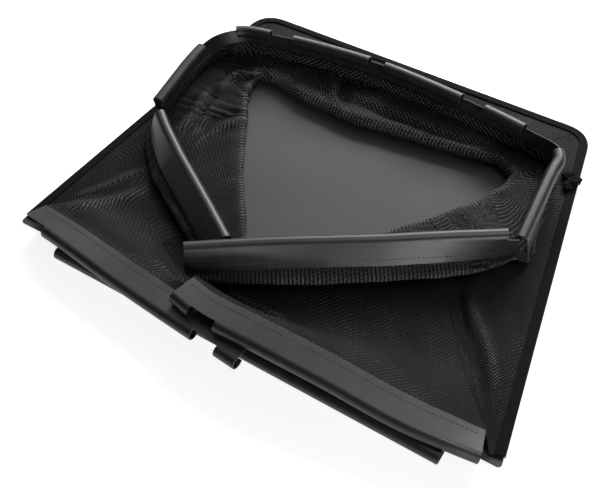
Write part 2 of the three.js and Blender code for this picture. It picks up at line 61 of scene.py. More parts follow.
# Sizes shared with the part's source, under the same names.
FRONT_WIDTH = 590.0
BACK_WIDTH = 480.0
BASE_DEPTH = 474.0
FRONT_EDGE_Y = -137.0
SIDE_SHIFT = 5.0
BACK_SHIFT = -22.0
BACK_CORNER_RADIUS = 36.0
FRONT_CORNER_RADIUS = 5.0
LONG_SIDE = 80.0
STRAIGHT_STOPS = (0.02, 0.5, 0.98)
BASE_THICKNESS = 1.6
CLOTH = 1.2
GAP = 0.3
SEW_GAP = 0.5
SEW_OVERLAP = 9.0
FREE_EDGE_MARGIN = 2.0
EDGE_INSET = 1.5
EDGE_ALLOWANCE = 6.0
BINDING_WALL = 1.2
BINDING_COVER = 9.0
CORNER_SEAM = 3.0
BINDING_START = 6.0
INNER_FOLD_RADIUS = 5.5
OUTER_FOLD_RADIUS = 2.6
BOTTOM_LIFT = 1.0
LEAST_ROLL_LIFT = 2.5
SHOULDER_REACH = 5.0
SHOULDER_DROP = 0.12
FALL_BOW = 0.1
BRIDGE_TUCK = 0.2
THIRDS = (0.33, 0.66)
SEAM_OVERRUN = 1.0
RIM_HEIGHT = 48.0
SIDE_RAIL_HEIGHT = 36.0
FRONT_RAIL_HEIGHT = 50.0
NOTCH_LENGTH = 31.0
SHORT_HOOK = 26.0
LEFT_HOOK_START = 37.0
FRONT_HOOK_START = 12.0
BACK_HOOKS = (104, 62, 49, 32, 106, 22, 108, 32, 54, 56, 200)
RAIL_WALL = 1.4
FLANGE_WIDTH = 26.0
HOOK_DIAMETER = 15.0
HOOK_WRAP_DEG = 245.0
LOWER_RAIL_Z = BASE_THICKNESS + GAP + RAIL_WALL / 2
MOUTH_LEFT_Z = LOWER_RAIL_Z + 2 * HOOK_DIAMETER - RAIL_WALL + GAP
MOUTH_RIGHT_Z = MOUTH_LEFT_Z + HOOK_DIAMETER + GAP
CLOTH_ON_BASE_Z = BASE_THICKNESS + GAP + CLOTH / 2


class Slot(Enum):
    """Material slots of the record."""

    MESH = "mesh_cloth"
    SHEET = "coated_sheet"
    PLASTIC = "rail_plastic"
    TAPE = "binding_tape"


def mix(low: np.ndarray, high: np.ndarray, share: float) -> np.ndarray:
    """Returns the point at a share of the way from low to high."""
    return low + (high - low) * share


def unit(vector: np.ndarray) -> np.ndarray:
    """Returns a vector scaled to length one."""
    return vector / max(float(np.linalg.norm(vector)), 1e-9)


def eased(share: np.ndarray) -> np.ndarray:
    """Returns a smooth step of shares, held between 0 and 1."""
    held = np.clip(share, 0.0, 1.0)
    return held * held * (3 - 2 * held)


class Course:
    """A smooth line through stations, with the tilt of a rail's flange at each."""

    samples = 60

    def __init__(self, *stations: Sequence[float]) -> None:
        """Samples the line.

        Args:
            stations: rows of x, y, z and tilt in degrees.
        """
        self.points = np.array([row[:3] for row in stations], float)
        self.tilts = np.array([row[3] for row in stations], float)
        last = len(stations) - 1
        count = last * self.samples + 1
        self.curve = np.array([self._point(min(i // self.samples, last - 1), i) for i in range(count)])
        steps = np.linalg.norm(np.diff(self.curve, axis=0), axis=1)
        self.lengths = np.concatenate([[0.0], np.cumsum(steps)])
        self.length = float(self.lengths[-1])
        self.marks = self.lengths[:: self.samples]
        self.tangents = np.gradient(self.curve, self.lengths, axis=0)

    def _point(self, segment: int, index: int) -> np.ndarray:
        """Returns the point of a centripetal Catmull-Rom line.

        Args:
            segment: the number of the stretch between two stations.
            index: the sample's number from the line's start.
        """
        share = index / self.samples - segment
        points = self.points
        one, two = points[segment], points[segment + 1]
        before = points[segment - 1] if segment > 0 else 2 * one - two
        after = points[segment + 2] if segment + 2 < len(points) else 2 * two - one
        pairs = ((before, one), (one, two), (two, after))
        gaps = [max(float(np.linalg.norm(b - a)) ** 0.5, 1e-4) for a, b in pairs]
        start = (one - before) / gaps[0] - (two - before) / (gaps[0] + gaps[1]) + (two - one) / gaps[1]
        end = (two - one) / gaps[1] - (after - one) / (gaps[1] + gaps[2]) + (after - two) / gaps[2]
        start, end = start * gaps[1], end * gaps[1]
        square, cube = share**2, share**3
        return (
            one
            + start * share
            + (-3 * one + 3 * two - 2 * start - end) * square
            + (2 * one - 2 * two + start + end) * cube
        )

    def frames(self, distances: np.ndarray) -> tuple[np.ndarray, np.ndarray, np.ndarray, np.ndarray]:
        """Finds the moving frame at distances along the line; past its ends it runs straight on.

        Args:
            distances: millimetres from the start.

        Returns:
            Points, the level direction to the right, the flange's direction and the curl's.
        """
        distances = np.atleast_1d(np.asarray(distances, float))
        held = np.clip(distances, 0.0, self.length)
        point = np.stack([np.interp(held, self.lengths, self.curve[:, k]) for k in range(3)], axis=1)
        tangent = np.stack([np.interp(held, self.lengths, self.tangents[:, k]) for k in range(3)], axis=1)
        tangent /= np.linalg.norm(tangent, axis=1, keepdims=True)
        side = np.cross(tangent, UP)
        side /= np.linalg.norm(side, axis=1, keepdims=True)
        rise = np.cross(side, tangent)
        tilt = np.radians(np.interp(held, self.marks, self.tilts))[:, None]
        across = side * np.cos(tilt) + rise * np.sin(tilt)
        curl = side * np.sin(tilt) - rise * np.cos(tilt)
        point = point + tangent * (distances - held)[:, None]
        return point, side, across, curl

    def place(self, distances: np.ndarray, u: np.ndarray, v: np.ndarray) -> np.ndarray:
        """Returns points at distances along the line, u along the flange and v towards the curl."""
        point, _, across, curl = self.frames(distances)
        return point + across * np.reshape(u, (-1, 1)) + curl * np.reshape(v, (-1, 1))


LEFT_RAIL = Course(
    (-60, -64, SIDE_RAIL_HEIGHT, 45),
    (-101, -36, SIDE_RAIL_HEIGHT, 44),
    (-182, 17, SIDE_RAIL_HEIGHT, 44),
    (-222, 44, SIDE_RAIL_HEIGHT, 60),
    (-242, 59, SIDE_RAIL_HEIGHT, 72),
)
BACK_RAIL = Course(
    (-256, 76, RIM_HEIGHT - 10, 100),
    (-261, 176, RIM_HEIGHT, 108),
    (-255, 216, RIM_HEIGHT, 108),
    (-233, 241, RIM_HEIGHT, 108),
    (-196, 252, RIM_HEIGHT, 110),
    (-58, 271, RIM_HEIGHT, 112),
    (72, 266, RIM_HEIGHT, 112),
    (165, 254, RIM_HEIGHT, 110),
    (200, 246, RIM_HEIGHT, 104),
    (215, 226, RIM_HEIGHT, 98),
    (216, 200, RIM_HEIGHT - 1, 94),
    (223, 97, RIM_HEIGHT - 6, 80),
)
FRONT_RAIL = Course(
    (216, 91, FRONT_RAIL_HEIGHT - 3, 98),
    (181, 68, FRONT_RAIL_HEIGHT - 1, 76),
    (150, 48, FRONT_RAIL_HEIGHT, 64),
    (96, 12, FRONT_RAIL_HEIGHT, 54),
    (45, -21, FRONT_RAIL_HEIGHT, 52),
    (-5, -55, FRONT_RAIL_HEIGHT, 58),
    (-76, -108, FRONT_RAIL_HEIGHT, 74),
)
MOUTH_RAIL_LEFT = Course(
    (-275, -137, MOUTH_LEFT_Z - 9, 14),
    (-236, -144, MOUTH_LEFT_Z - 2, 12),
    (-205, -149, MOUTH_LEFT_Z, 8),
    (-120, -162, MOUTH_LEFT_Z, 0),
    (37, -179, MOUTH_LEFT_Z, 0),
)
MOUTH_RAIL_RIGHT = Course(
    (-56, -153, MOUTH_RIGHT_Z, 2),
    (-22, -160, MOUTH_RIGHT_Z, 0),
    (44, -161, MOUTH_RIGHT_Z, -4),
    (120, -159, MOUTH_RIGHT_Z - 5, -5),
    (202, -157, MOUTH_RIGHT_Z - 13, -5),
    (245, -151, MOUTH_RIGHT_Z - 17, 2),
    (280, -143, MOUTH_RIGHT_Z - 23, 10),
)
MOUTH_RAIL_LOWER = Course((-217, -154, LOWER_RAIL_Z, 0), (248, -160, LOWER_RAIL_Z, 0))


class Outline:
    """The base sheet's outline with its rounded corners."""

    def __init__(self, corner_facets: int) -> None:
        """Rounds the four corners.

        Args:
            corner_facets: straight pieces in each rounded corner.
        """
        half_front, half_back = FRONT_WIDTH / 2, BACK_WIDTH / 2
        back_y = FRONT_EDGE_Y + BASE_DEPTH
        corners = [
            np.array([SIDE_SHIFT - half_front, FRONT_EDGE_Y]),
            np.array([BACK_SHIFT - half_back, back_y]),
            np.array([BACK_SHIFT + half_back, back_y]),
            np.array([SIDE_SHIFT + half_front, FRONT_EDGE_Y]),
        ]
        radii = (FRONT_CORNER_RADIUS, BACK_CORNER_RADIUS, BACK_CORNER_RADIUS, FRONT_CORNER_RADIUS)
        self.points: list[np.ndarray] = []
        for i, radius in enumerate(radii):
            before, after = corners[i - 1], corners[(i + 1) % len(corners)]
            self.points += self._fillet(before, corners[i], after, radius, corner_facets)
        self.facets = corner_facets

    @staticmethod
    def _fillet(
        before: np.ndarray, corner: np.ndarray, after: np.ndarray, radius: float, facets: int
    ) -> list[np.ndarray]:
        """Returns the points of a rounded corner between two straight edges."""
        inward, outward = unit(before - corner), unit(after - corner)
        half_angle = math.acos(max(-1.0, min(1.0, float(inward @ outward)))) / 2
        reach = radius / math.tan(half_angle)
        start, end = corner + inward * reach, corner + outward * reach
        shares = np.linspace(0, 1, facets + 1)
        return [(1 - t) ** 2 * start + 2 * t * (1 - t) * corner + t**2 * end for t in shares]

    def edge_course(self) -> Course:
        """Returns the course along the left, back and right edges."""
        line = self.points[self.facets : len(self.points) - self.facets]
        rows = []
        for here, after in zip(line, line[1:] + [None]):
            rows.append((*here, 0.0, 0.0))
            if after is not None and np.linalg.norm(after - here) > LONG_SIDE:
                rows += [(*mix(here, after, share), 0.0, 0.0) for share in STRAIGHT_STOPS]
        return Course(*rows)


OUTLINE = Outline(7)
EDGE = OUTLINE.edge_course()


class Place:
    """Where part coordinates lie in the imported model's frame."""

    shift = np.array(
        [
            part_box("base_sheet")[0].x - min(p[0] for p in OUTLINE.points) * MM,
            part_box("base_sheet")[0].y - FRONT_EDGE_Y * MM,
            0.0,
        ]
    )

    @classmethod
    def metres(cls, points: np.ndarray) -> np.ndarray:
        """Returns part coordinates in millimetres as points of the frame in metres."""
        return points * MM + cls.shift


def mapped_grid(
    name: str,
    columns: int,
    rows: int,
    points: np.ndarray,
    uv: np.ndarray,
    drop: Callable[[int, int], bool] | None = None,
    marks: dict[str, np.ndarray] | None = None,
) -> bpy.types.Object:
    """Bends a flat grid so that each of its corners lies on a given point.

    Args:
        name: the piece's name.
        columns: corners along the grid.
        rows: corners across the grid.
        points: array of columns by rows by 3, in part millimetres.
        uv: array of columns by rows by 2, in metres along and across the cloth.
        drop: tells which squares, by column and row, are left out.
        marks: named values for each corner, kept as point attributes.

    Returns:
        The new object, linked to the scene.
    """
    shape = bmesh.new()
    bmesh.ops.create_grid(shape, x_segments=columns - 1, y_segments=rows - 1, size=0.5)
    layer = shape.loops.layers.uv.new("cloth")
    layers = {key: shape.verts.layers.float.new(key) for key in marks or {}}
    where = {
        corner: (round((corner.co.x + 0.5) * (columns - 1)), round((corner.co.y + 0.5) * (rows - 1)))
        for corner in shape.verts
    }
    for face in shape.faces:
        for loop in face.loops:
            loop[layer].uv = uv[where[loop.vert]]
    placed = Place.metres(points)
    for corner in shape.verts:
        corner.co = placed[where[corner]]
        for key, store in layers.items():
            corner[store] = float(marks[key][where[corner]])
    if drop is not None:
        firsts = {f: [min(where[v][k] for v in f.verts) for k in (0, 1)] for f in shape.faces}
        gone = [f for f in shape.faces if drop(*firsts[f])]
        bmesh.ops.delete(shape, geom=gone, context="FACES")
    return linked(name, shape)


def linked(name: str, shape: bmesh.types.BMesh, smooth: bool = True) -> bpy.types.Object:
    """Makes an object of a bmesh and frees it.

    Args:
        name: the piece's name.
        shape: the bmesh, in metres in the frame.
        smooth: shades the faces smooth.

    Returns:
        The new object.
    """
    mesh = bpy.data.meshes.new(name)
    shape.to_mesh(mesh)
    shape.free()
    mesh.shade_smooth() if smooth else mesh.shade_flat()
    made = bpy.data.objects.new(name, mesh)
    bpy.context.scene.collection.objects.link(made)
    return made


def thickened(piece: bpy.types.Object, wall: float, bevel: float = 0.0) -> None:
    """Gives a sheet its thickness, half to each side, and rounds its edges.

    Args:
        piece: the sheet.
        wall: thickness in millimetres.
        bevel: width of the edge rounding in millimetres, or 0 for none.
    """
    solid = piece.modifiers.new("wall", "SOLIDIFY")
    solid.thickness = wall * MM
    solid.offset = 0.0
    solid.use_even_offset = bevel > 0
    if bevel > 0:
        edge = piece.modifiers.new("edge", "BEVEL")
        edge.width = bevel * MM
        edge.segments = 2
        edge.limit_method = "ANGLE"
        edge.angle_limit = math.radians(50)
        edge.harden_normals = True


def dressed(
    piece: bpy.types.Object, material: bpy.types.Material, slot: Slot, *nodes: str
) -> bpy.types.Object:
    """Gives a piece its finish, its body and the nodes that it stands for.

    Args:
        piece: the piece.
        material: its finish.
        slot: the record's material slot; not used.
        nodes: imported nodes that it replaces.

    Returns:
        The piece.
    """
    piece.data.materials.clear()
    piece.data.materials.append(material)
    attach(piece, "root")
    if nodes:
        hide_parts(*nodes)
    LOG.info("%s: %d faces", piece.name, len(piece.data.polygons))
    return piece


class NodeBoard:
    """A short way to place and join shader nodes on one tree."""

    def __init__(self, tree: bpy.types.NodeTree) -> None:
        """Keeps the tree.

        Args:
            tree: a material's, a world's or a group's node tree.
        """
        self.tree = tree

    def node(self, kind: str, **settings: object) -> bpy.types.Node:
        """Returns a new node with its settings."""
        made = self.tree.nodes.new(kind)
        for key, value in settings.items():
            setattr(made, key, value)
        return made

    def join(self, source: Socket, target: Socket) -> None:
        """Joins two sockets."""
        self.tree.links.new(source, target)

    def feed(self, target: Socket, value: object) -> None:
        """Joins a socket, or sets its value where a number or colour is given."""
        if isinstance(value, Socket):
            self.join(value, target)
        else:
            target.default_value = value

    def maths(self, operation: str, one: object, two: object = 0.0, three: object = 0.0) -> Socket:
        """Returns the result of a Math node."""
        made = self.node("ShaderNodeMath", operation=operation)
        for i, value in enumerate((one, two, three)):
            self.feed(made.inputs[i], value)
        return made.outputs[0]

    def times(self, one: object, two: object) -> Socket:
        """Returns a product."""
        return self.maths("MULTIPLY", one, two)

    def scaled(self, value: object, factor: float, more: object) -> Socket:
        """Returns a value times a factor, plus something more."""
        return self.maths("MULTIPLY_ADD", value, factor, more)

    def most(self, one: object, two: object) -> Socket:
        """Returns the larger of two values."""
        return self.maths("MAXIMUM", one, two)

    def ramp(self, value: object, low: float, high: float, to_low: float = 0, to_high: float = 1) -> Socket:
        """Returns a value mapped smoothly from one range to another."""
        made = self.node("ShaderNodeMapRange", interpolation_type="SMOOTHSTEP")
        self.feed(made.inputs["Value"], value)
        numbers = {"From Min": low, "From Max": high, "To Min": to_low, "To Max": to_high}
        for key, number in numbers.items():
            made.inputs[key].default_value = number
        return made.outputs[0]

    def colour(self, share: object, dark: object, light: object) -> Socket:
        """Returns a colour between two, each a socket or a triple, by a share."""
        made = self.node("ShaderNodeMix", data_type="RGBA")
        self.feed(made.inputs[0], share)
        for i, tone in ((6, dark), (7, light)):
            self.feed(made.inputs[i], tone if isinstance(tone, Socket) else (*tone, 1.0))
        return made.outputs[2]

    def noise(self, vector: Socket, scale: float, detail: float = 2.0) -> Socket:
        """Returns the value of a noise texture."""
        made = self.node("ShaderNodeTexNoise")
        made.inputs["Scale"].default_value = scale
        made.inputs["Detail"].default_value = detail
        self.join(vector, made.inputs["Vector"])
        return made.outputs[0]

    def drifted(self, vector: Socket, scale: float, reach: float) -> Socket:
        """Returns a vector moved about by noise, as threads that don't lie quite straight."""
        cloud = self.node("ShaderNodeTexNoise")
        cloud.inputs["Scale"].default_value = scale
        self.join(vector, cloud.inputs["Vector"])
        moved = self.node("ShaderNodeVectorMath", operation="MULTIPLY_ADD")
        self.join(cloud.outputs["Color"], moved.inputs[0])
        moved.inputs[1].default_value = (reach, reach, 0.0)
        self.join(vector, moved.inputs[2])
        return moved.outputs["Vector"]

    def weave(self, vector: Socket, pitch: float) -> tuple[Socket, Socket]:
        """Returns the height and the bright crossings of a weave, its pitch in millimetres."""
        made = self.node("ShaderNodeGroup", node_tree=woven_group())
        self.join(vector, made.inputs["Vector"])
        made.inputs["Pitch"].default_value = pitch * MM
        return made.outputs["Height"], made.outputs["Dots"]

    def bump(self, shader: bpy.types.Node, height: Socket, strength: float, distance: float) -> None:
        """Gives a shader the relief of a height, its distance in millimetres."""
        made = self.node("ShaderNodeBump")
        made.inputs["Strength"].default_value = strength
        made.inputs["Distance"].default_value = distance * MM
        self.join(height, made.inputs["Height"])
        self.join(made.outputs[0], shader.inputs["Normal"])

    def rays(self) -> tuple[Socket, Socket]:
        """Returns whether a ray comes from the camera, and whether it was reflected or let through."""
        path = self.node("ShaderNodeLightPath").outputs
        return path["Is Camera Ray"], self.most(path["Is Glossy Ray"], path["Is Transmission Ray"])


def woven_group() -> bpy.types.ShaderNodeTree:
    """Builds, once, the node group of a plain weave of round threads.

    Returns:
        A group with inputs Vector and Pitch, and outputs Height and Dots, the crossings on top.
    """
    name = "woven_threads"
    if name in bpy.data.node_groups:
        return bpy.data.node_groups[name]
    tree = bpy.data.node_groups.new(name, "ShaderNodeTree")
    sockets = (("Vector", "INPUT", "Vector"), ("Pitch", "INPUT", "Float"))
    sockets += (("Height", "OUTPUT", "Float"), ("Dots", "OUTPUT", "Float"))
    for label, way, kind in sockets:
        tree.interface.new_socket(label, in_out=way, socket_type="NodeSocket" + kind)
    board = NodeBoard(tree)
    given = board.node("NodeGroupInput")
    result = board.node("NodeGroupOutput")
    parts = board.node("ShaderNodeSeparateXYZ")
    board.join(given.outputs["Vector"], parts.inputs[0])
    warp, weft = (board.maths("DIVIDE", parts.outputs[axis], given.outputs["Pitch"]) for axis in "XY")
    warp_round, weft_round = (
        board.maths("SINE", board.times(board.maths("FRACT", threads), math.pi)) for threads in (warp, weft)
    )
    turns = board.maths("ADD", board.maths("FLOOR", warp), board.maths("FLOOR", weft))
    odd = board.times(board.maths("FRACT", board.times(turns, 0.5)), 2.0)
    even = board.maths("SUBTRACT", 1.0, odd)
    warp_over = board.times(warp_round, board.scaled(odd, 0.7, 0.3))
    weft_over = board.times(weft_round, board.scaled(even, 0.7, 0.3))
    board.join(board.most(warp_over, weft_over), result.inputs["Height"])
    crossing = board.times(board.times(warp_round, weft_round), odd)
    board.join(board.ramp(crossing, 0.25, 0.9), result.inputs["Dots"])
    return tree


def toned(colour: Sequence[float], factor: float) -> tuple[float, ...]:
    """Returns a colour made lighter or darker."""
    return tuple(factor * part for part in colour)


@dataclass(frozen=True)
class Finish:
    """A procedural finish. Each kind lays its own nodes."""

    name: str

    def build(self) -> bpy.types.Material:
        """Returns the material."""
        material = bpy.data.materials.new(self.name)
        material.use_nodes = True
        self.lay(NodeBoard(material.node_tree), material.node_tree.nodes["Principled BSDF"])
        return material

    def lay(self, board: NodeBoard, shader: bpy.types.Node) -> None:
        """Lays the finish's nodes.

        Args:
            board: the material's nodes.
            shader: its shader.
        """
        raise NotImplementedError


@dataclass(frozen=True)
class MeshCloth(Finish):
    """Open woven polyester mesh, dark olive black, with painted glints on its thread crossings and painted
    highlights on its fold ribs.
    """

    name: str = "mesh_cloth"
    pitch: float = 2.5
    rib_pitch: float = 4.4
    drift: float = 2.4
    drift_scale: float = 110.0
    speckle_scale: float = 560.0
    dark: tuple[float, float, float] = (0.003, 0.003, 0.0028)
    light: tuple[float, float, float] = (0.027, 0.0255, 0.0225)
    # The colour of the painted glints on the crossings and of the painted highlight on the fold ribs.
    painted_glint: tuple[float, float, float] = (0.52, 0.5, 0.46)
    roughness: float = 0.66
    specular: float = 0.1

    def lay(self, board: NodeBoard, shader: bpy.types.Node) -> None:
        """Lays the weave with its speckle, painted glints on the thread crossings in random patches, and the
        ribs at the folds, whose relief is bump and whose brightening is painted highlight.
        """
        place = board.node("ShaderNodeUVMap", uv_map="cloth").outputs[0]
        threads, dots = board.weave(board.drifted(place, self.drift_scale, self.drift * MM), self.pitch)
        speckle = board.ramp(board.noise(place, self.speckle_scale), 0.3, 0.7)
        base = board.colour(board.times(threads, board.scaled(speckle, 0.85, 0.04)), self.dark, self.light)
        # Painted highlight: the walls' mark that brightens the crossings on crease ridges and over whole
        # panels' upper layers.
        highlight_share = board.node("ShaderNodeAttribute", attribute_name="painted_highlight").outputs["Fac"]
        rib = board.node("ShaderNodeAttribute", attribute_name="rib").outputs["Fac"]
        along = board.node("ShaderNodeSeparateXYZ")
        board.join(place, along.inputs[0])
        turns = board.times(along.outputs["X"], 2 * math.pi / (self.rib_pitch * MM))
        wave = board.scaled(board.maths("SINE", turns), 0.5, 0.5)
        patches = board.ramp(board.noise(place, 14.0, 3.0), 0.4, 0.75, 0.05, 0.4)
        # Painted glints on the crossings: in random patches, and stronger where the walls' painted highlight
        # mark is laid.
        shine = board.most(board.times(highlight_share, 0.8), patches)
        shown = board.times(board.times(dots, shine), board.scaled(speckle, 1.0, 0.2))
        uneven = board.ramp(board.noise(place, 30.0), 0.35, 0.65, 0.5, 1.0)
        ribs = board.times(board.times(rib, uneven), board.maths("POWER", wave, 2.0))
        # Painted highlight on the ribs of the folds, broken up by the speckle.
        rib_highlight = board.times(ribs, board.scaled(speckle, 0.7, 0.3))
        share = board.maths("MINIMUM", board.most(shown, rib_highlight), 1.0)
        board.join(board.colour(share, base, self.painted_glint), shader.inputs["Base Color"])
        height = board.scaled(board.times(wave, rib), 0.8, board.times(threads, 0.5))
        board.bump(shader, height, 1.0, 0.35)
        shader.inputs["Roughness"].default_value = self.roughness
        shader.inputs["Specular IOR Level"].default_value = self.specular


@dataclass(frozen=True)
class SatinPlastic(Finish):
    """Extruded black plastic with faint lines along the rail and a satin gloss."""

    name: str = "rail_plastic"
    colour: tuple[float, float, float] = (0.018, 0.018, 0.019)
    roughness: float = 0.42
    line_scale: tuple[float, float, float] = (9.0, 900.0, 1.0)

    def lay(self, board: NodeBoard, shader: bpy.types.Node) -> None:
        """Lays a cloudy tone and the lines of the extrusion."""
        place = board.node("ShaderNodeUVMap", uv_map="cloth").outputs[0]
        drawn = board.node("ShaderNodeMapping")
        drawn.inputs["Scale"].default_value = self.line_scale
        board.join(place, drawn.inputs["Vector"])
        fine = board.noise(drawn.outputs[0], 1.0, 3.0)
        cloudy = board.noise(place, 60.0, 3.0)
        tone = board.colour(board.ramp(cloudy, 0.3, 0.7), self.colour, toned(self.colour, 1.6))
        board.join(tone, shader.inputs["Base Color"])
        rough = board.maths("ADD", board.scaled(fine, 0.16, self.roughness - 0.12), board.times(cloudy, 0.1))
        board.join(rough, shader.inputs["Roughness"])
        board.bump(shader, fine, 0.25, 0.1)


@dataclass(frozen=True)
class CoatedSheet(Finish):
    """Smooth grey coated sheet of the bag's floor."""

    name: str = "coated_sheet"
    colour: tuple[float, float, float] = (0.094, 0.0925, 0.095)
    roughness: float = 0.58
    specular: float = 0.3

    def lay(self, board: NodeBoard, shader: bpy.types.Node) -> None:
        """Lays a cloudy tone and a fine grain."""
        place = board.node("ShaderNodeTexCoord").outputs["Object"]
        cloudy = board.ramp(board.noise(place, 7.0, 4.0), 0.3, 0.7)
        tone = board.colour(cloudy, toned(self.colour, 0.93), toned(self.colour, 1.07))
        board.join(tone, shader.inputs["Base Color"])
        fine = board.noise(place, 900.0)
        board.join(board.scaled(fine, 0.14, self.roughness - 0.07), shader.inputs["Roughness"])
        shader.inputs["Specular IOR Level"].default_value = self.specular
        board.bump(shader, fine, 0.2, 0.15)


@dataclass(frozen=True)
class WovenTape(Finish):
    """Narrow woven binding tape."""

    name: str = "binding_tape"
    pitch: float = 1.1
    dark: tuple[float, float, float] = (0.002, 0.002, 0.0018)
    light: tuple[float, float, float] = (0.01, 0.0095, 0.0087)
    roughness: float = 0.8
    specular: float = 0.12

    def lay(self, board: NodeBoard, shader: bpy.types.Node) -> None:
        """Lays the weave."""
        threads, _ = board.weave(board.node("ShaderNodeUVMap", uv_map="cloth").outputs[0], self.pitch)
        board.join(board.colour(threads, self.dark, self.light), shader.inputs["Base Color"])
        board.bump(shader, threads, 0.7, 0.4)
        shader.inputs["Roughness"].default_value = self.roughness
        shader.inputs["Specular IOR Level"].default_value = self.specular


@dataclass(frozen=True)
class SewingThread(Finish):
    """Twisted polyester thread."""

    name: str = "sewing_thread"
    colour: tuple[float, float, float] = (0.02, 0.02, 0.02)
    roughness: float = 0.45

    def lay(self, board: NodeBoard, shader: bpy.types.Node) -> None:
        """Lays the tone of the twist."""
        twist = board.noise(board.node("ShaderNodeTexCoord").outputs["Object"], 2500.0)
        tone = board.colour(twist, toned(self.colour, 0.5), toned(self.colour, 2.0))
        board.join(tone, shader.inputs["Base Color"])
        shader.inputs["Roughness"].default_value = self.roughness


@dataclass
class ClipRail:
    """A rail with a flat sewing flange and a hook that snaps onto a wire.

    Sizes are in millimetres; a hook run is a stretch of the course that has its hook.
    """

    node: str
    course: Course
    hook_runs: list[tuple[float, float]]
    hook_side: int = 1
    step: float = 2.5
    least_step: float = 0.6
    flange_rows: tuple[float, ...] = (-FLANGE_WIDTH, -25.2, -22.0, -18.0, -14.0, -10.0, -6.0, -3.0, -1.0)
    hook_rows: int = 22
    edge_bevel: float = 0.35
    stitch_inset: float = 7.0
    stitch_pitch: float = 5.0
    stitch_length: float = 3.2
    stitch_radius: float = 0.42
    stitch_lift: float = 0.1

    def section(self) -> np.ndarray:
        """Returns the middle of the rail's wall as rows of u, v and length along it."""
        radius = (HOOK_DIAMETER - RAIL_WALL) / 2
        rows = [(u, 0.0) for u in self.flange_rows]
        for share in np.linspace(0, 1, self.hook_rows):
            angle = -math.pi / 2 + math.radians(HOOK_WRAP_DEG) * share
            rows.append((radius * math.cos(angle), radius + radius * math.sin(angle)))
        line = np.array(rows)
        run = np.concatenate([[0.0], np.cumsum(np.linalg.norm(np.diff(line, axis=0), axis=1))])
        return np.column_stack([line[:, 0], line[:, 1] * self.hook_side, run])

    def stops(self) -> np.ndarray:
        """Returns the distances of the rail's cross lines, with each end of a hook run among them."""
        length = self.course.length
        even = np.linspace(0, length, max(2, math.ceil(length / self.step)) + 1)
        cuts = [d for run in self.hook_runs for d in run if 0 < d < length]
        kept = [d for d in even if all(abs(d - c) > self.least_step for c in cuts)]
        return np.array(sorted(kept + cuts))

    def build(self, plastic: bpy.types.Material) -> bpy.types.Object:
        """Makes the rail.

        Args:
            plastic: its finish.

        Returns:
            The rail's object.
        """
        stops, section = self.stops(), self.section()
        same = np.ones(len(stops))
        points = np.stack([self.course.place(stops, same * u, same * v) for u, v, _ in section], axis=1)
        uv = np.zeros((len(stops), len(section), 2))
        uv[:, :, 0] = stops[:, None] * MM
        uv[:, :, 1] = section[None, :, 2] * MM
        middles = (stops[:-1] + stops[1:]) / 2
        hooked = [any(start <= m <= end for start, end in self.hook_runs) for m in middles]

        def is_cut(column: int, row: int) -> bool:
            """Tells whether a square of the wall lies in a notch."""
            return row >= len(self.flange_rows) and not hooked[column]

        piece = mapped_grid(self.node + "_look", len(stops), len(section), points, uv, is_cut)
        thickened(piece, RAIL_WALL, self.edge_bevel)
        return dressed(piece, plastic, Slot.PLASTIC, self.node)

    def stitches(self, thread: bpy.types.Material) -> bpy.types.Object:
        """Sews a row of stitches along the flange.

        Args:
            thread: the stitches' finish.

        Returns:
            One object with every stitch of the rail.
        """
        shape = bmesh.new()
        u = -FLANGE_WIDTH + self.stitch_inset
        distance = self.stitch_pitch
        lift = -(RAIL_WALL / 2 + self.stitch_lift) * self.hook_side
        radius = self.stitch_radius * MM
        size = Matrix.Diagonal((self.stitch_length * MM / 2, radius, radius, 1))
        while distance < self.course.length - self.stitch_pitch:
            ends = self.course.place(np.array([distance, distance + self.stitch_length]), [u, u], [lift, lift])
            start, end = Place.metres(ends)
            turn = Vector(end - start).to_track_quat("X", "Z").to_matrix().to_4x4()
            where = Matrix.Translation(Vector((start + end) / 2)) @ turn @ size
            bmesh.ops.create_uvsphere(shape, u_segments=6, v_segments=5, radius=1.0, matrix=where)
            distance += self.stitch_pitch
        return dressed(linked(self.node + "_stitches", shape), thread, Slot.TAPE)


@dataclass(frozen=True)
class WallStation:
    """One place round the walls: both sewn edges, the inner fold and how the layers lie."""

    rim: Course
    at: float
    outer: Course
    out: float
    inner: tuple[float, float]
    foot: float
    roll: float
    nose: float = INNER_FOLD_RADIUS
    turn: float = OUTER_FOLD_RADIUS


def stations(rim: Course, outer: Course, *rows: tuple) -> list[WallStation]:
    """Returns the stations between a rim rail and an outer seam.

    Args:
        rim: the rail at the wall's rim.
        outer: the line of its outer seam.
        rows: distance along the rim, then a station's values from its distance along the seam.
    """
    return [WallStation(rim, at, outer, *others) for at, *others in rows]


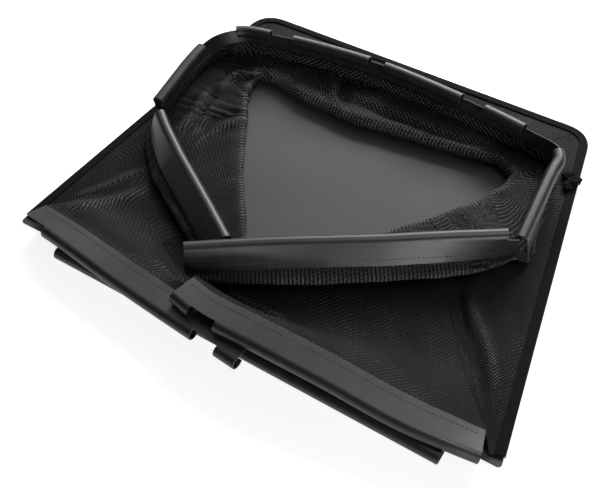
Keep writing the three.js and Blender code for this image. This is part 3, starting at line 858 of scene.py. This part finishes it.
# Clockwise round the ring of walls, from the corner at the mouth's left end.
WALL_STATIONS = [
    *stations(
        LEFT_RAIL,
        MOUTH_RAIL_LEFT,
        (-1, 214, (-48, -42), 0.3, 2),
        (60, 146, (-80, 1), 0.35, 8, 6, 3.5),
        (130, 78, (-114, 50), 0.35, 10, 6, 3.5),
        (LEFT_RAIL.length + SEAM_OVERRUN, -1, (-144, 98), 0.3, 6, 6, 3),
    ),
    *stations(
        BACK_RAIL,
        EDGE,
        (-1, CORNER_SEAM, (-160, 127), 0.2, 3, 6.5, 2.6),
        (50, 150, (-173, 148), 0.2, 3, 6.5, 2.6),
        (104, 270, (-187, 170), 0.2, 3, 6.5, 2.6),
        (134, 390, (-190, 191), 0.25, 3, 6.5, 2.6),
        (160, 462, (-190, 212), 0.3, 3, 6.5, 2.6),
        (196, 520, (-167, 214), 0.3, 3, 8, 2.6),
        (280, 610, (-118, 203), 0.3, 3, 9.5, 2.6),
        (360, 700, (-46, 198), 0.3, 3, 9.5, 2.6),
        (440, 790, (24, 208), 0.3, 3, 9.5, 2.6),
        (520, 870, (104, 217), 0.3, 3, 9.5, 2.6),
        (556, 920, (142, 226), 0.3, 3, 8, 2.6),
        (590, 980, (168, 212), 0.3, 3, 8, 2.6),
        (640, 1080, (167, 184), 0.3, 3, 8, 2.6),
        (BACK_RAIL.length + SEAM_OVERRUN, 1190, (154, 155), 0.3, 3, 7, 2.6),
    ),
    *stations(
        FRONT_RAIL,
        EDGE,
        (-1, 1290, (139, 131), 0.3, 4, 6.5, 2.6),
        (26, EDGE.length - CORNER_SEAM, (126, 113), 0.3, 7, 6, 3.5),
    ),
    *stations(
        FRONT_RAIL,
        MOUTH_RAIL_RIGHT,
        (50, MOUTH_RAIL_RIGHT.length + SEAM_OVERRUN, (112, 93), 0.4, 9, 5.5, 4.5),
        (110, 260, (78, 46), 0.4, 11, 5.5, 5.5),
        (200, 168, (28, 6), 0.35, 11, 5.5, 5.5),
        (290, 76, (-20, -34), 0.25, 9, 5.5, 5.0),
        (FRONT_RAIL.length + SEAM_OVERRUN, -1, (-38, -45), 0.25, 4, 5.5, 3.0),
    ),
]


class Layer(Enum):
    """Layers of the folded walls."""

    LOWER = "lower"
    UPPER = "upper"


@dataclass(frozen=True)
class Crease:
    """A ridge, or a valley where its height is negative, along a line over one layer."""

    layer: Layer
    height: float
    width: float
    line: tuple[tuple[float, float], ...]

    def rise(self, points: np.ndarray) -> np.ndarray:
        """Returns how far the crease lifts each point, by its distance from the line."""
        course = np.array(self.line, float)
        best = np.full(points.shape[:-1], 1e9)
        taper = np.ones(points.shape[:-1])
        count = len(course) - 1
        for i in range(count):
            start, end = course[i], course[i + 1]
            along = end - start
            share = np.clip(((points[..., :2] - start) @ along) / (along @ along), 0, 1)
            gap = np.linalg.norm(points[..., :2] - start - share[..., None] * along, axis=-1)
            where = (i + share) / count
            nearer = gap < best
            best = np.where(nearer, gap, best)
            taper = np.where(nearer, eased(where / 0.25) * eased((1 - where) / 0.25), taper)
        return self.height * taper * np.exp(-((best / self.width) ** 2))


CREASES = (
    Crease(Layer.UPPER, 6.0, 7.0, ((-217, 132), (-214, 166), (-213, 192), (-194, 208), (-170, 232))),
    Crease(Layer.UPPER, -5.0, 6.0, ((-218, 160), (-212, 173), (-194, 197), (-170, 214))),
    Crease(Layer.UPPER, 5.0, 6.0, ((-186, 20), (-183, 69), (-175, 94), (-164, 112), (-158, 134))),
    Crease(Layer.UPPER, -4.0, 6.0, ((-200, 80), (-193, 98), (-181, 118), (-170, 140))),
    Crease(Layer.UPPER, 7.0, 8.0, ((-114, 276), (-112, 262), (-89, 235), (-76, 200))),
    Crease(Layer.UPPER, -6.0, 7.0, ((-98, 268), (-94, 255), (-77, 234), (-56, 208))),
    Crease(Layer.UPPER, -5.0, 9.0, ((-96, 250), (-80, 254), (-60, 257), (-36, 260))),
    Crease(Layer.UPPER, -6.0, 7.0, ((-72, 224), (-37, 222), (9, 223), (54, 223), (89, 228), (135, 236))),
    Crease(Layer.UPPER, 4.0, 6.0, ((-222, 50), (-220, 90), (-224, 125), (-230, 165))),
    Crease(Layer.UPPER, -3.5, 5.0, ((-208, 50), (-209, 90), (-214, 125), (-216, 160))),
    Crease(Layer.UPPER, 3.0, 5.0, ((-199, 50), (-202, 84), (-205, 120), (-206, 150))),
    Crease(Layer.LOWER, 5.0, 10.0, ((-252, -114), (-240, -99), (-224, -75), (-204, -44), (-188, -8))),
    Crease(Layer.LOWER, 3.0, 7.0, ((-268, -92), (-245, -58), (-228, -24), (-212, 14))),
    Crease(Layer.LOWER, 5.0, 6.0, ((-36, -98), (-23, -100), (1, -102), (34, -102), (52, -100))),
    Crease(
        Layer.LOWER, 8.0, 9.0, ((180, 56), (201, 13), (212, 2), (224, -10), (244, -35), (262, -65), (279, -104))
    ),
    Crease(Layer.LOWER, -4.0, 7.0, ((172, 40), (188, 10), (199, -6), (210, -18))),
    Crease(Layer.LOWER, -5.0, 8.0, ((-128, -76), (-118, -88), (-90, -106), (-66, -122))),
)


@dataclass(frozen=True)
class Seam:
    """A sewn edge at one place: a point under the rail or tape, the edge, and the way outwards."""

    tucked: np.ndarray
    edge: np.ndarray
    outward: np.ndarray


@dataclass
class FoldedWalls:
    """The mesh walls, folded down in three layers between the base sheet and the rails.

    A panel has its node's name, its first and last station, and the least share of painted highlight over its
    upper layer's threads.
    A cut has 20 points, from the outer seam to the rim, and rows_per_part are the rows between each two.
    Distances round the ring are measured along measured_row, by the inner fold.
    """

    column_step: float = 2.0
    least_span: float = 20.0
    rows_per_part: tuple[int, ...] = (2, 2, 4, 4, 4, 5, 5, 3, 3, 3, 3, 3, 8, 8, 8, 3, 3, 3, 3)
    lower_parts: int = 8
    parts_to_inner_fold: int = 11
    parts_to_outer_fold: int = 16
    measured_row: int = 30
    wall: float = CLOTH * 0.8
    panels: tuple[tuple[str, int, int, float], ...] = (
        ("left_side_panel", 0, 8, 0.2),
        ("back_wall_panel", 8, 14, 0.9),
        ("right_side_panel", 14, 20, 0.9),
        ("front_top_panel", 20, 25, 0.4),
    )
    slack_more: float = 1.4
    slack_middle: tuple[float, float] = (-195.0, 190.0)
    slack_reach: float = 80.0
    cuts: np.ndarray = field(init=False)
    station_columns: list[int] = field(init=False)

    def __post_init__(self) -> None:
        """Works out every cut round the ring of walls."""
        found: list[np.ndarray] = []
        self.station_columns = []
        for i, here in enumerate(WALL_STATIONS):
            after = WALL_STATIONS[(i + 1) % len(WALL_STATIONS)]
            self.station_columns.append(len(found))
            span = max(
                abs(after.at - here.at) if after.rim is here.rim else 0.0,
                abs(after.out - here.out) if after.outer is here.outer else 0.0,
                float(np.hypot(*(np.array(after.inner) - np.array(here.inner)))),
                self.least_span,
            )
            steps = math.ceil(span / self.column_step)
            found += [self.cut(here, after, k / steps) for k in range(steps)]
        self.station_columns.append(len(found))
        self.cuts = np.array(found)

    @staticmethod
    def under_rail(course: Course, distance: float) -> Seam:
        """Returns the seam where the cloth is sewn under a rail's flange."""
        depth = RAIL_WALL / 2 + SEW_GAP + CLOTH / 2
        _, side, _, _ = course.frames(distance)
        tucked = course.place(distance, [-FLANGE_WIDTH + SEW_OVERLAP], [depth])[0]
        edge = course.place(distance, [-FLANGE_WIDTH - FREE_EDGE_MARGIN], [depth])[0]
        return Seam(tucked, edge, -side[0])

    @classmethod
    def outer_seam(cls, course: Course, distance: float) -> Seam:
        """Returns the seam of a wall's outer edge, on the base sheet or under a mouth rail."""
        if course is not EDGE:
            return cls.under_rail(course, distance)
        tucked = EDGE.place(distance, [EDGE_INSET], [-CLOTH_ON_BASE_Z])[0]
        edge = EDGE.place(distance, [BINDING_COVER + EDGE_ALLOWANCE], [-CLOTH_ON_BASE_Z])[0]
        return Seam(tucked, edge, np.zeros(3))

    @staticmethod
    def between(one: Seam, two: Seam, share: float) -> Seam:
        """Returns the seam that bridges two others in a straight line."""
        return Seam(
            mix(one.tucked, two.tucked, share),
            mix(one.edge, two.edge, share),
            unit(mix(one.outward, two.outward, share)),
        )

    @classmethod
    def cut(cls, here: WallStation, after: WallStation, share: float) -> np.ndarray:
        """Works out one cut through the folded wall.

        Args:
            here: the station before the cut.
            after: the station after it.
            share: how far between them the cut is.

        Returns:
            Its points, from the outer sewn edge to the rim.
        """
        if here.rim is after.rim:
            rim = cls.under_rail(here.rim, here.at + (after.at - here.at) * share)
        else:
            ends = cls.under_rail(here.rim, here.at), cls.under_rail(after.rim, after.at)
            rim = cls.between(*ends, share)
        if here.outer is after.outer:
            outer = cls.outer_seam(here.outer, here.out + (after.out - here.out) * share)
        else:
            ends = cls.outer_seam(here.outer, here.out), cls.outer_seam(after.outer, after.out)
            outer = cls.between(*ends, share)
            if share > 0:
                outer = Seam(mix(outer.edge, outer.tucked, BRIDGE_TUCK), outer.edge, outer.outward)
        ease = float(eased(np.array(share)))
        bottom_z = CLOTH_ON_BASE_Z + BOTTOM_LIFT
        start = outer.edge
        inner = mix(np.array([*here.inner, bottom_z], float), np.array([*after.inner, bottom_z], float), share)
        inwards = unit((inner - start) * [1, 1, 0])
        foot = mix(start, inner, here.foot + (after.foot - here.foot) * ease)
        foot[2] = bottom_z
        drop = start[2] - bottom_z
        shoulder = start + inwards * SHOULDER_REACH
        shoulder[2] -= SHOULDER_DROP * drop
        fall = [mix(shoulder, foot, third) for third in THIRDS]
        fall[0][2] += FALL_BOW * drop
        fall[1][2] -= FALL_BOW * drop
        line = [outer.tucked, start, shoulder, *fall, foot, *(mix(foot, inner, third) for third in THIRDS)]
        nose = here.nose + (after.nose - here.nose) * ease
        inner = inner - inwards * (nose - INNER_FOLD_RADIUS)
        for degrees in (-90, -45, 0, 45, 90):
            angle = math.radians(degrees)
            point = inner + inwards * nose * math.cos(angle)
            point[2] = bottom_z + nose * (1 + math.sin(angle))
            line.append(point)
        roll = here.roll + (after.roll - here.roll) * ease
        turn = here.turn + (after.turn - here.turn) * ease
        roll_out = rim.edge + rim.outward * (roll + OUTER_FOLD_RADIUS - turn)
        roll_z = max(rim.edge[2] - 2 * turn, bottom_z + LEAST_ROLL_LIFT)
        roll_bottom = np.array([roll_out[0], roll_out[1], roll_z])
        nose_top = line[-1]
        line += [mix(nose_top, roll_bottom, third) for third in THIRDS]
        for degrees in (-90, -30, 30):
            angle = math.radians(degrees)
            point = roll_bottom + rim.outward * turn * math.cos(angle)
            point[2] = roll_z + turn * (1 + math.sin(angle))
            line.append(point)
        line += [rim.edge, rim.tucked]
        return np.array(line)

    def surface(self) -> np.ndarray:
        """Returns the walls' middle surface as columns by rows of points, smooth across each cut."""
        cuts = self.softened(self.cuts)
        rows = []
        count = cuts.shape[1]
        for part in range(count - 1):
            before = cuts[:, max(part - 1, 0)]
            one, two = cuts[:, part], cuts[:, part + 1]
            after = cuts[:, min(part + 2, count - 1)]
            for step in range(self.rows_per_part[part]):
                t = step / self.rows_per_part[part]
                start, end = (two - before) / 2, (after - one) / 2
                gap = np.linalg.norm(two - one, axis=1, keepdims=True)
                for slope in (start, end):
                    length = np.maximum(np.linalg.norm(slope, axis=1, keepdims=True), 1e-6)
                    slope *= np.minimum(1.0, gap / length)
                rows.append(
                    (2 * t**3 - 3 * t**2 + 1) * one
                    + (t**3 - 2 * t**2 + t) * start
                    + (3 * t**2 - 2 * t**3) * two
                    + (t**3 - t**2) * end
                )
        rows.append(cuts[:, -1])
        return np.stack(rows, axis=1)

    @staticmethod
    def softened(cuts: np.ndarray, passes: int = 30) -> np.ndarray:
        """Smooths the folds along the ring and leaves the sewn edges where they are."""
        soft = cuts.copy()
        for _ in range(passes):
            inner = soft[:, 3:-2]
            inner += 0.5 * ((np.roll(inner, 1, axis=0) + np.roll(inner, -1, axis=0)) / 2 - inner)
        return soft

    @staticmethod
    def normals(surface: np.ndarray) -> np.ndarray:
        """Returns the unit normals of the ring's surface."""
        along = np.roll(surface, -1, axis=0) - np.roll(surface, 1, axis=0)
        across = np.gradient(surface, axis=1)
        found = np.cross(across, along)
        return found / np.maximum(np.linalg.norm(found, axis=2, keepdims=True), 1e-9)

    def wrinkled(self, surface: np.ndarray, run: np.ndarray, fall: np.ndarray) -> np.ndarray:
        """Lays soft wrinkles on the walls, none at the sewn edges.

        Args:
            surface: points of the middle surface.
            run: distance round the ring of each column.
            fall: distance across of each point.

        Returns:
            The changed points.
        """
        columns, rows = surface.shape[:2]
        across = np.linspace(0, 1, rows)
        hold = eased(across / 0.14) * eased((1 - across) / 0.12)
        offset = np.zeros((columns, rows))
        from_slack = (surface[:, :, :2] - self.slack_middle) / self.slack_reach
        slack = 1.0 + self.slack_more * np.exp(-(from_slack**2).sum(axis=2))
        for i in range(columns):
            for j in range(rows):
                x, y = run[i] * 0.02, fall[i, j] * 0.012
                broad = noise.noise(Vector((x * 0.55, y, 3.7)))
                folds = noise.noise(Vector((x * 1.9 + y * 0.6, y * 0.7, 9.1)))
                fine = noise.noise(Vector((x * 4.4, y * 3.1, 5.3)))
                sharp = 1.0 - 2.5 * abs(noise.noise(Vector((x * 1.3 - y * 1.1, y * 1.4 + x * 0.5, 1.9))))
                offset[i, j] = 1.9 * broad + 1.3 * folds + 0.4 * fine + 1.3 * sharp * (slack[i, j] - 0.7)
        lower = across < self.share_before(self.lower_parts)
        normals = self.normals(surface)
        upward = np.where(normals[:, :, 2] < 0, -1.0, 1.0)
        facing = eased(np.abs(normals[:, :, 2]) / 0.3)
        for crease in CREASES:
            on_layer = lower if crease.layer is Layer.LOWER else ~lower
            offset += crease.rise(surface) * upward * facing * on_layer[None, :]
        moved = surface + normals * (offset * hold)[:, :, None]
        on_sheet = surface[:, :, 2] < CLOTH_ON_BASE_Z + 6
        moved[:, :, 2] = np.where(on_sheet, np.maximum(moved[:, :, 2], CLOTH_ON_BASE_Z), moved[:, :, 2])
        return moved

    def share_before(self, parts: int) -> float:
        """Returns the share of the rows that lie in the first parts of the cuts."""
        return sum(self.rows_per_part[:parts]) / sum(self.rows_per_part)

    def ribs(self, across: np.ndarray, is_front: bool) -> np.ndarray:
        """Returns how strongly each row shows ribs, as bump and as painted highlight: at the inner fold, and at
        the front wall's outer one.

        Args:
            across: place of each row, from 0 at the outer seam to 1 at the rim.
            is_front: whether the panel is the front wall.
        """
        inner = self.share_before(self.parts_to_inner_fold)
        outer = self.share_before(self.parts_to_outer_fold)
        near = 0.9 * np.exp(-(((across - inner) / 0.045) ** 2))
        return near + (1.2 * np.exp(-(((across - outer) / 0.07) ** 2)) if is_front else 0.0)

    def painted_highlight(self, points: np.ndarray, rows: int, least: float) -> np.ndarray:
        """Returns the share of painted highlight at each point: on the ridges of the creases, and at least a
        panel's least share over its upper layer.

        Args:
            points: points of the panel, as columns by rows.
            rows: number of rows.
            least: the least share of painted highlight on the upper layer.
        """
        lower = np.linspace(0, 1, rows) < self.share_before(self.lower_parts)
        found = np.repeat(np.where(lower, 0.0, least)[None, :], len(points), axis=0)
        for crease in CREASES:
            if crease.height > 0:
                on_layer = lower if crease.layer is Layer.LOWER else ~lower
                found = np.maximum(found, crease.rise(points) / crease.height * on_layer[None, :])
        return found

    def build(self, cloth: bpy.types.Material) -> list[bpy.types.Object]:
        """Makes the panels.

        Args:
            cloth: their finish.

        Returns:
            One object for each panel.
        """
        surface = self.surface()
        ring = surface[:, self.measured_row]
        steps = np.linalg.norm(np.diff(ring, axis=0, append=ring[:1]), axis=1)
        run = np.concatenate([[0.0], np.cumsum(steps)])[:-1]
        falls = np.linalg.norm(np.diff(surface, axis=1), axis=2)
        fall = np.concatenate([np.zeros((len(surface), 1)), np.cumsum(falls, axis=1)], axis=1)
        surface = self.wrinkled(surface, run, fall)
        rows = surface.shape[1]
        made = []
        for name, first, last, least_highlight in self.panels:
            start, end = self.station_columns[first], self.station_columns[last]
            pick = list(range(start, end + (1 if last < len(WALL_STATIONS) else 0)))
            middle = len(pick) // 2
            points = surface[pick]
            uv = np.zeros((len(pick), rows, 2))
            along = np.linalg.norm(np.diff(points, axis=0), axis=2)
            along = np.concatenate([np.zeros((1, rows)), np.cumsum(along, axis=0)])
            uv[:, :, 0] = (along - along[middle] + run[pick[middle]]) * MM
            uv[:, :, 1] = fall[pick] * MM
            row_ribs = self.ribs(np.linspace(0, 1, rows), name == "front_top_panel")
            rib = np.repeat(row_ribs[None, :], len(pick), axis=0)
            # The rib mark drives the ribs' bump and their painted highlight; the painted highlight mark
            # brightens the thread crossings.
            marks = {"rib": rib, "painted_highlight": self.painted_highlight(points, rows, least_highlight)}
            piece = mapped_grid(name + "_look", len(pick), rows, points, uv, None, marks)
            thickened(piece, self.wall)
            dressed(piece, cloth, Slot.MESH, name)
            made.append(piece)
        return made


@dataclass
class BaseSheet:
    """The bag's solid floor, a coated sheet with softened edges."""

    edge_bevel: float = 0.4
    corner_facets: int = 14

    def build(self, coat: bpy.types.Material) -> bpy.types.Object:
        """Makes the sheet.

        Args:
            coat: its finish.

        Returns:
            The sheet's object.
        """
        shape = bmesh.new()
        outline = Outline(self.corner_facets).points
        corners = [shape.verts.new(Place.metres(np.array([*point, 0.0]))) for point in outline]
        raised = bmesh.ops.extrude_face_region(shape, geom=[shape.faces.new(corners)])
        lifted = [item for item in raised["geom"] if isinstance(item, bmesh.types.BMVert)]
        bmesh.ops.translate(shape, verts=lifted, vec=(0, 0, BASE_THICKNESS * MM))
        bmesh.ops.recalc_face_normals(shape, faces=shape.faces)
        rims = [e for e in shape.edges if abs(e.verts[0].co.z - e.verts[1].co.z) < 1e-6]
        bmesh.ops.bevel(
            shape,
            geom=rims,
            offset=self.edge_bevel * MM,
            offset_type="OFFSET",
            segments=2,
            profile=0.5,
            affect="EDGES",
            material=-1,
        )
        piece = dressed(linked("base_sheet_look", shape, smooth=False), coat, Slot.SHEET, "base_sheet")
        return piece


@dataclass
class EdgeBinding:
    """Woven tape folded over the walls' sewn edge, round three sides of the base sheet."""

    step: float = 3.0
    wall: float = BINDING_WALL * 0.9
    edge_bevel: float = 0.3
    foot_lift: float = 0.3
    bend: float = 1.1
    edge_tuck: float = 0.35
    waviness: float = 0.35
    upright_rows: int = 5

    def build(self, tape: bpy.types.Material) -> bpy.types.Object:
        """Makes the tape.

        Args:
            tape: its finish.

        Returns:
            The tape's object.
        """
        top = BASE_THICKNESS + 2 * GAP + CLOTH + BINDING_WALL / 2
        outside = -GAP - BINDING_WALL / 2
        bent = outside + self.bend
        line = [(outside, self.foot_lift + (top - 1.5) * share) for share in (0, 0.35, 0.7, 1)]
        line += [(outside + 0.35, top - 0.5), (bent, top)]
        line += [(bent + (BINDING_COVER - bent) * share, top) for share in (0.2, 0.4, 0.6, 0.8, 0.95, 1)]
        section = np.array(line)
        section[-1, 1] -= self.edge_tuck
        run = np.concatenate([[0.0], np.cumsum(np.linalg.norm(np.diff(section, axis=0), axis=1))])
        stops = np.linspace(BINDING_START, EDGE.length - BINDING_START, math.ceil(EDGE.length / self.step))
        same = np.ones(len(stops))
        points = np.stack([EDGE.place(stops, same * u, same * -z) for u, z in section], axis=1)
        rows = range(self.upright_rows, len(section))
        waves = np.array([[noise.noise(Vector((d * 0.03, row * 0.4, 1.3))) for row in rows] for d in stops])
        points[:, self.upright_rows :, 2] += self.waviness * waves * np.linspace(0, 1, len(rows))
        uv = np.zeros((len(stops), len(section), 2))
        uv[:, :, 0] = stops[:, None] * MM
        uv[:, :, 1] = run[None, :] * MM
        piece = mapped_grid("edge_binding_look", len(stops), len(section), points, uv)
        thickened(piece, self.wall, self.edge_bevel)
        dressed(piece, tape, Slot.TAPE, "edge_binding")
        return piece


@dataclass
class SeamTail:
    """The knotted end of the binding tape, which sticks out at the bag's right edge."""

    lobes: tuple[tuple[float, ...], ...] = (
        (224, 250, 7, 10, 8, 4),
        (230, 243, 7.5, 8, 9, 4.5),
        (227, 236, 7, 7, 7, 3.5),
    )
    crumple: float = 3.2

    def build(self, tape: bpy.types.Material) -> bpy.types.Object:
        """Makes the tail.

        Args:
            tape: its finish.

        Returns:
            The tail's object.
        """
        shape = bmesh.new()
        for x, y, z, *radii in self.lobes:
            middle = Matrix.Translation(Vector(Place.metres(np.array([x, y, z], float))))
            size = Matrix.Diagonal([r * MM for r in radii] + [1])
            bmesh.ops.create_icosphere(shape, subdivisions=4, radius=1.0, matrix=middle @ size)
        shape.normal_update()
        uv = shape.loops.layers.uv.new("cloth")
        for vertex in shape.verts:
            lift = noise.noise(vertex.co * 170) + 0.5 * noise.noise(vertex.co * 420)
            vertex.co += vertex.normal * lift * self.crumple * MM
        for face in shape.faces:
            for corner in face.loops:
                corner[uv].uv = (corner.vert.co.x + corner.vert.co.z, corner.vert.co.y)
        return dressed(linked("seam_tail", shape), tape, Slot.TAPE)


@dataclass(frozen=True)
class SoftBox:
    """A large area light: where it stands, what it points at, its size and power.

    A reflection card is a light that only shows in glossy surfaces.
    """

    name: str
    stands: tuple[float, float, float]
    aims: tuple[float, float, float]
    width: float
    height: float
    watts: float
    is_card: bool = False

    def build(self) -> None:
        """Places the light."""
        lamp = bpy.data.lights.new(self.name, "AREA")
        lamp.shape = "RECTANGLE"
        lamp.size, lamp.size_y = self.width, self.height
        lamp.energy = self.watts
        made = bpy.data.objects.new(self.name, lamp)
        made.location = self.stands
        made.visible_diffuse = not self.is_card
        made.rotation_euler = (Vector(self.aims) - Vector(self.stands)).to_track_quat("-Z", "Y").to_euler()
        bpy.context.scene.collection.objects.link(made)


@dataclass(frozen=True)
class Studio:
    """White floor and surroundings, soft lights and the photograph's camera.

    surround is the strength of the surroundings as a light, and floor_lift that of the floor's own white.
    """

    azimuth: float = 31.16
    elevation: float = 50.0
    distance: float = 1.008
    lens: float = 54.0
    sensor: float = 36.0
    clips: tuple[float, float] = (0.01, 50.0)
    surround: float = 0.045
    backdrop_side: tuple[float, float, float] = (-0.15, 0.7, 0.7)
    backdrop_edge: tuple[float, float] = (0.5, 0.95)
    floor_half: float = 6.0
    floor_drop: float = 0.0004
    floor_lift: float = 0.82
    floor_tones: tuple[float, float] = (0.93, 0.95)
    lights: tuple[SoftBox, ...] = (
        SoftBox("key_light", (-0.45, 1.74, 1.08), (0.0, 0.05, 0.0), 1.3, 0.7, 37.0),
        SoftBox("back_light", (-0.92, 1.06, 1.56), (0.0, 0.0, 0.0), 0.6, 0.5, 1.5),
        SoftBox("side_light", (1.55, -1.21, 0.52), (0.0, 0.0, 0.0), 0.7, 0.5, 9.0),
        SoftBox("top_card", (0.6, 0.0, 1.5), (0.1, 0.0, 0.04), 0.5, 0.5, 7.0, True),
        SoftBox("end_card", (0.38, 1.72, 1.25), (0.1, 0.0, 0.04), 0.4, 0.3, 14.0, True),
        SoftBox("streak_card", (1.05, -1.12, 0.12), (0.1, 0.0, 0.04), 0.16, 0.1, 6.0, True),
    )

    def build(self) -> None:
        """Makes the floor, the surroundings, the lights and the camera."""
        self.floor()
        self.surroundings()
        for light in self.lights:
            light.build()
        self.camera()
        bpy.context.scene.view_settings.view_transform = "Standard"

    def floor(self) -> None:
        """Lays the floor just under the object."""
        shape = bmesh.new()
        bmesh.ops.create_grid(shape, x_segments=2, y_segments=2, size=self.floor_half)
        bmesh.ops.translate(shape, verts=shape.verts, vec=(0, 0, -self.floor_drop))
        floor = linked("studio_floor", shape)
        material = bpy.data.materials.new("white_floor")
        material.use_nodes = True
        board = NodeBoard(material.node_tree)
        shader = material.node_tree.nodes["Principled BSDF"]
        place = board.node("ShaderNodeTexCoord").outputs["Object"]
        tone = board.colour(board.noise(place, 2.0), *((tone,) * 3 for tone in self.floor_tones))
        board.join(tone, shader.inputs["Base Color"])
        shader.inputs["Roughness"].default_value = 0.9
        shader.inputs["Specular IOR Level"].default_value = 0.1
        glow = board.node("ShaderNodeEmission")
        board.join(board.times(board.most(*board.rays()), self.floor_lift), glow.inputs["Strength"])
        both = board.node("ShaderNodeAddShader")
        board.join(shader.outputs[0], both.inputs[0])
        board.join(glow.outputs[0], both.inputs[1])
        board.join(both.outputs[0], material.node_tree.nodes["Material Output"].inputs["Surface"])
        floor.data.materials.append(material)

    def surroundings(self) -> None:
        """Makes a world that is white to the camera, a backdrop to gloss and glass, and dim as a light."""
        world = bpy.data.worlds.new("studio")
        world.use_nodes = True
        bpy.context.scene.world = world
        board = NodeBoard(world.node_tree)
        back = world.node_tree.nodes["Background"]
        back.inputs["Color"].default_value = (1, 1, 1, 1)
        away = board.node("ShaderNodeVectorMath", operation="DOT_PRODUCT")
        board.join(board.node("ShaderNodeTexCoord").outputs["Generated"], away.inputs[0])
        away.inputs[1].default_value = self.backdrop_side
        backdrop = board.ramp(away.outputs["Value"], *self.backdrop_edge)
        direct, mirrored = board.rays()
        seen = board.most(direct, board.times(mirrored, backdrop))
        board.join(board.most(seen, self.surround), back.inputs["Strength"])

    def camera(self) -> None:
        """Stands the camera where the photograph was taken from."""
        turn, lift = math.radians(self.azimuth), math.radians(self.elevation)
        away = Vector((math.sin(turn) * math.cos(lift), -math.cos(turn) * math.cos(lift), math.sin(lift)))
        lens = bpy.data.cameras.new("photo_camera")
        lens.lens, lens.sensor_width = self.lens, self.sensor
        lens.clip_start, lens.clip_end = self.clips
        made = bpy.data.objects.new("photo_camera", lens)
        made.location = Vector(Place.shift) + away * self.distance
        made.rotation_euler = (-away).to_track_quat("-Z", "Y").to_euler()
        bpy.context.scene.collection.objects.link(made)
        bpy.context.scene.camera = made


def runs(start: float, lengths: Sequence[float]) -> list[tuple[float, float]]:
    """Returns a rail's hook runs, from the lengths of hook and gap by turns."""
    found, at = [], start
    for i, length in enumerate(lengths):
        if i % 2 == 0:
            found.append((at, at + length))
        at += length
    return found


def rails() -> list[ClipRail]:
    """Returns the six clip rails."""
    left_long = MOUTH_RAIL_LEFT.length - LEFT_HOOK_START - NOTCH_LENGTH - SHORT_HOOK
    left_hooks = runs(LEFT_HOOK_START, (left_long, NOTCH_LENGTH, SHORT_HOOK + 1))
    right_hooks = runs(0, (SHORT_HOOK, NOTCH_LENGTH, MOUTH_RAIL_RIGHT.length))
    return [
        ClipRail("rim_rail_left", LEFT_RAIL, [(0, LEFT_RAIL.length)]),
        ClipRail("rim_rail_back", BACK_RAIL, runs(0, BACK_HOOKS)),
        ClipRail("rim_rail_front", FRONT_RAIL, [(FRONT_HOOK_START, FRONT_RAIL.length)]),
        ClipRail("mouth_rail_upper_left", MOUTH_RAIL_LEFT, left_hooks),
        ClipRail("mouth_rail_upper_right", MOUTH_RAIL_RIGHT, right_hooks),
        ClipRail("mouth_rail_lower", MOUTH_RAIL_LOWER, [(0, MOUTH_RAIL_LOWER.length)], hook_side=-1),
    ]


def main() -> None:
    """Builds the studio and every piece of the bag, in order."""
    logging.basicConfig(level=logging.INFO, format="%(name)s: %(message)s")
    Studio().build()
    plastic = SatinPlastic().build()
    thread = SewingThread().build()
    # The front rail's stitches are sewn in a paler thread.
    pale_thread = SewingThread("pale_thread", (0.11, 0.105, 0.1)).build()
    for rail in rails():
        rail.build(plastic)
        rail.stitches(pale_thread if rail.course is FRONT_RAIL else thread)
    FoldedWalls().build(MeshCloth().build())
    BaseSheet().build(CoatedSheet().build())
    tape = WovenTape().build()
    EdgeBinding().build(tape)
    SeamTail().build(tape)


if __name__ == "__main__":
    main()
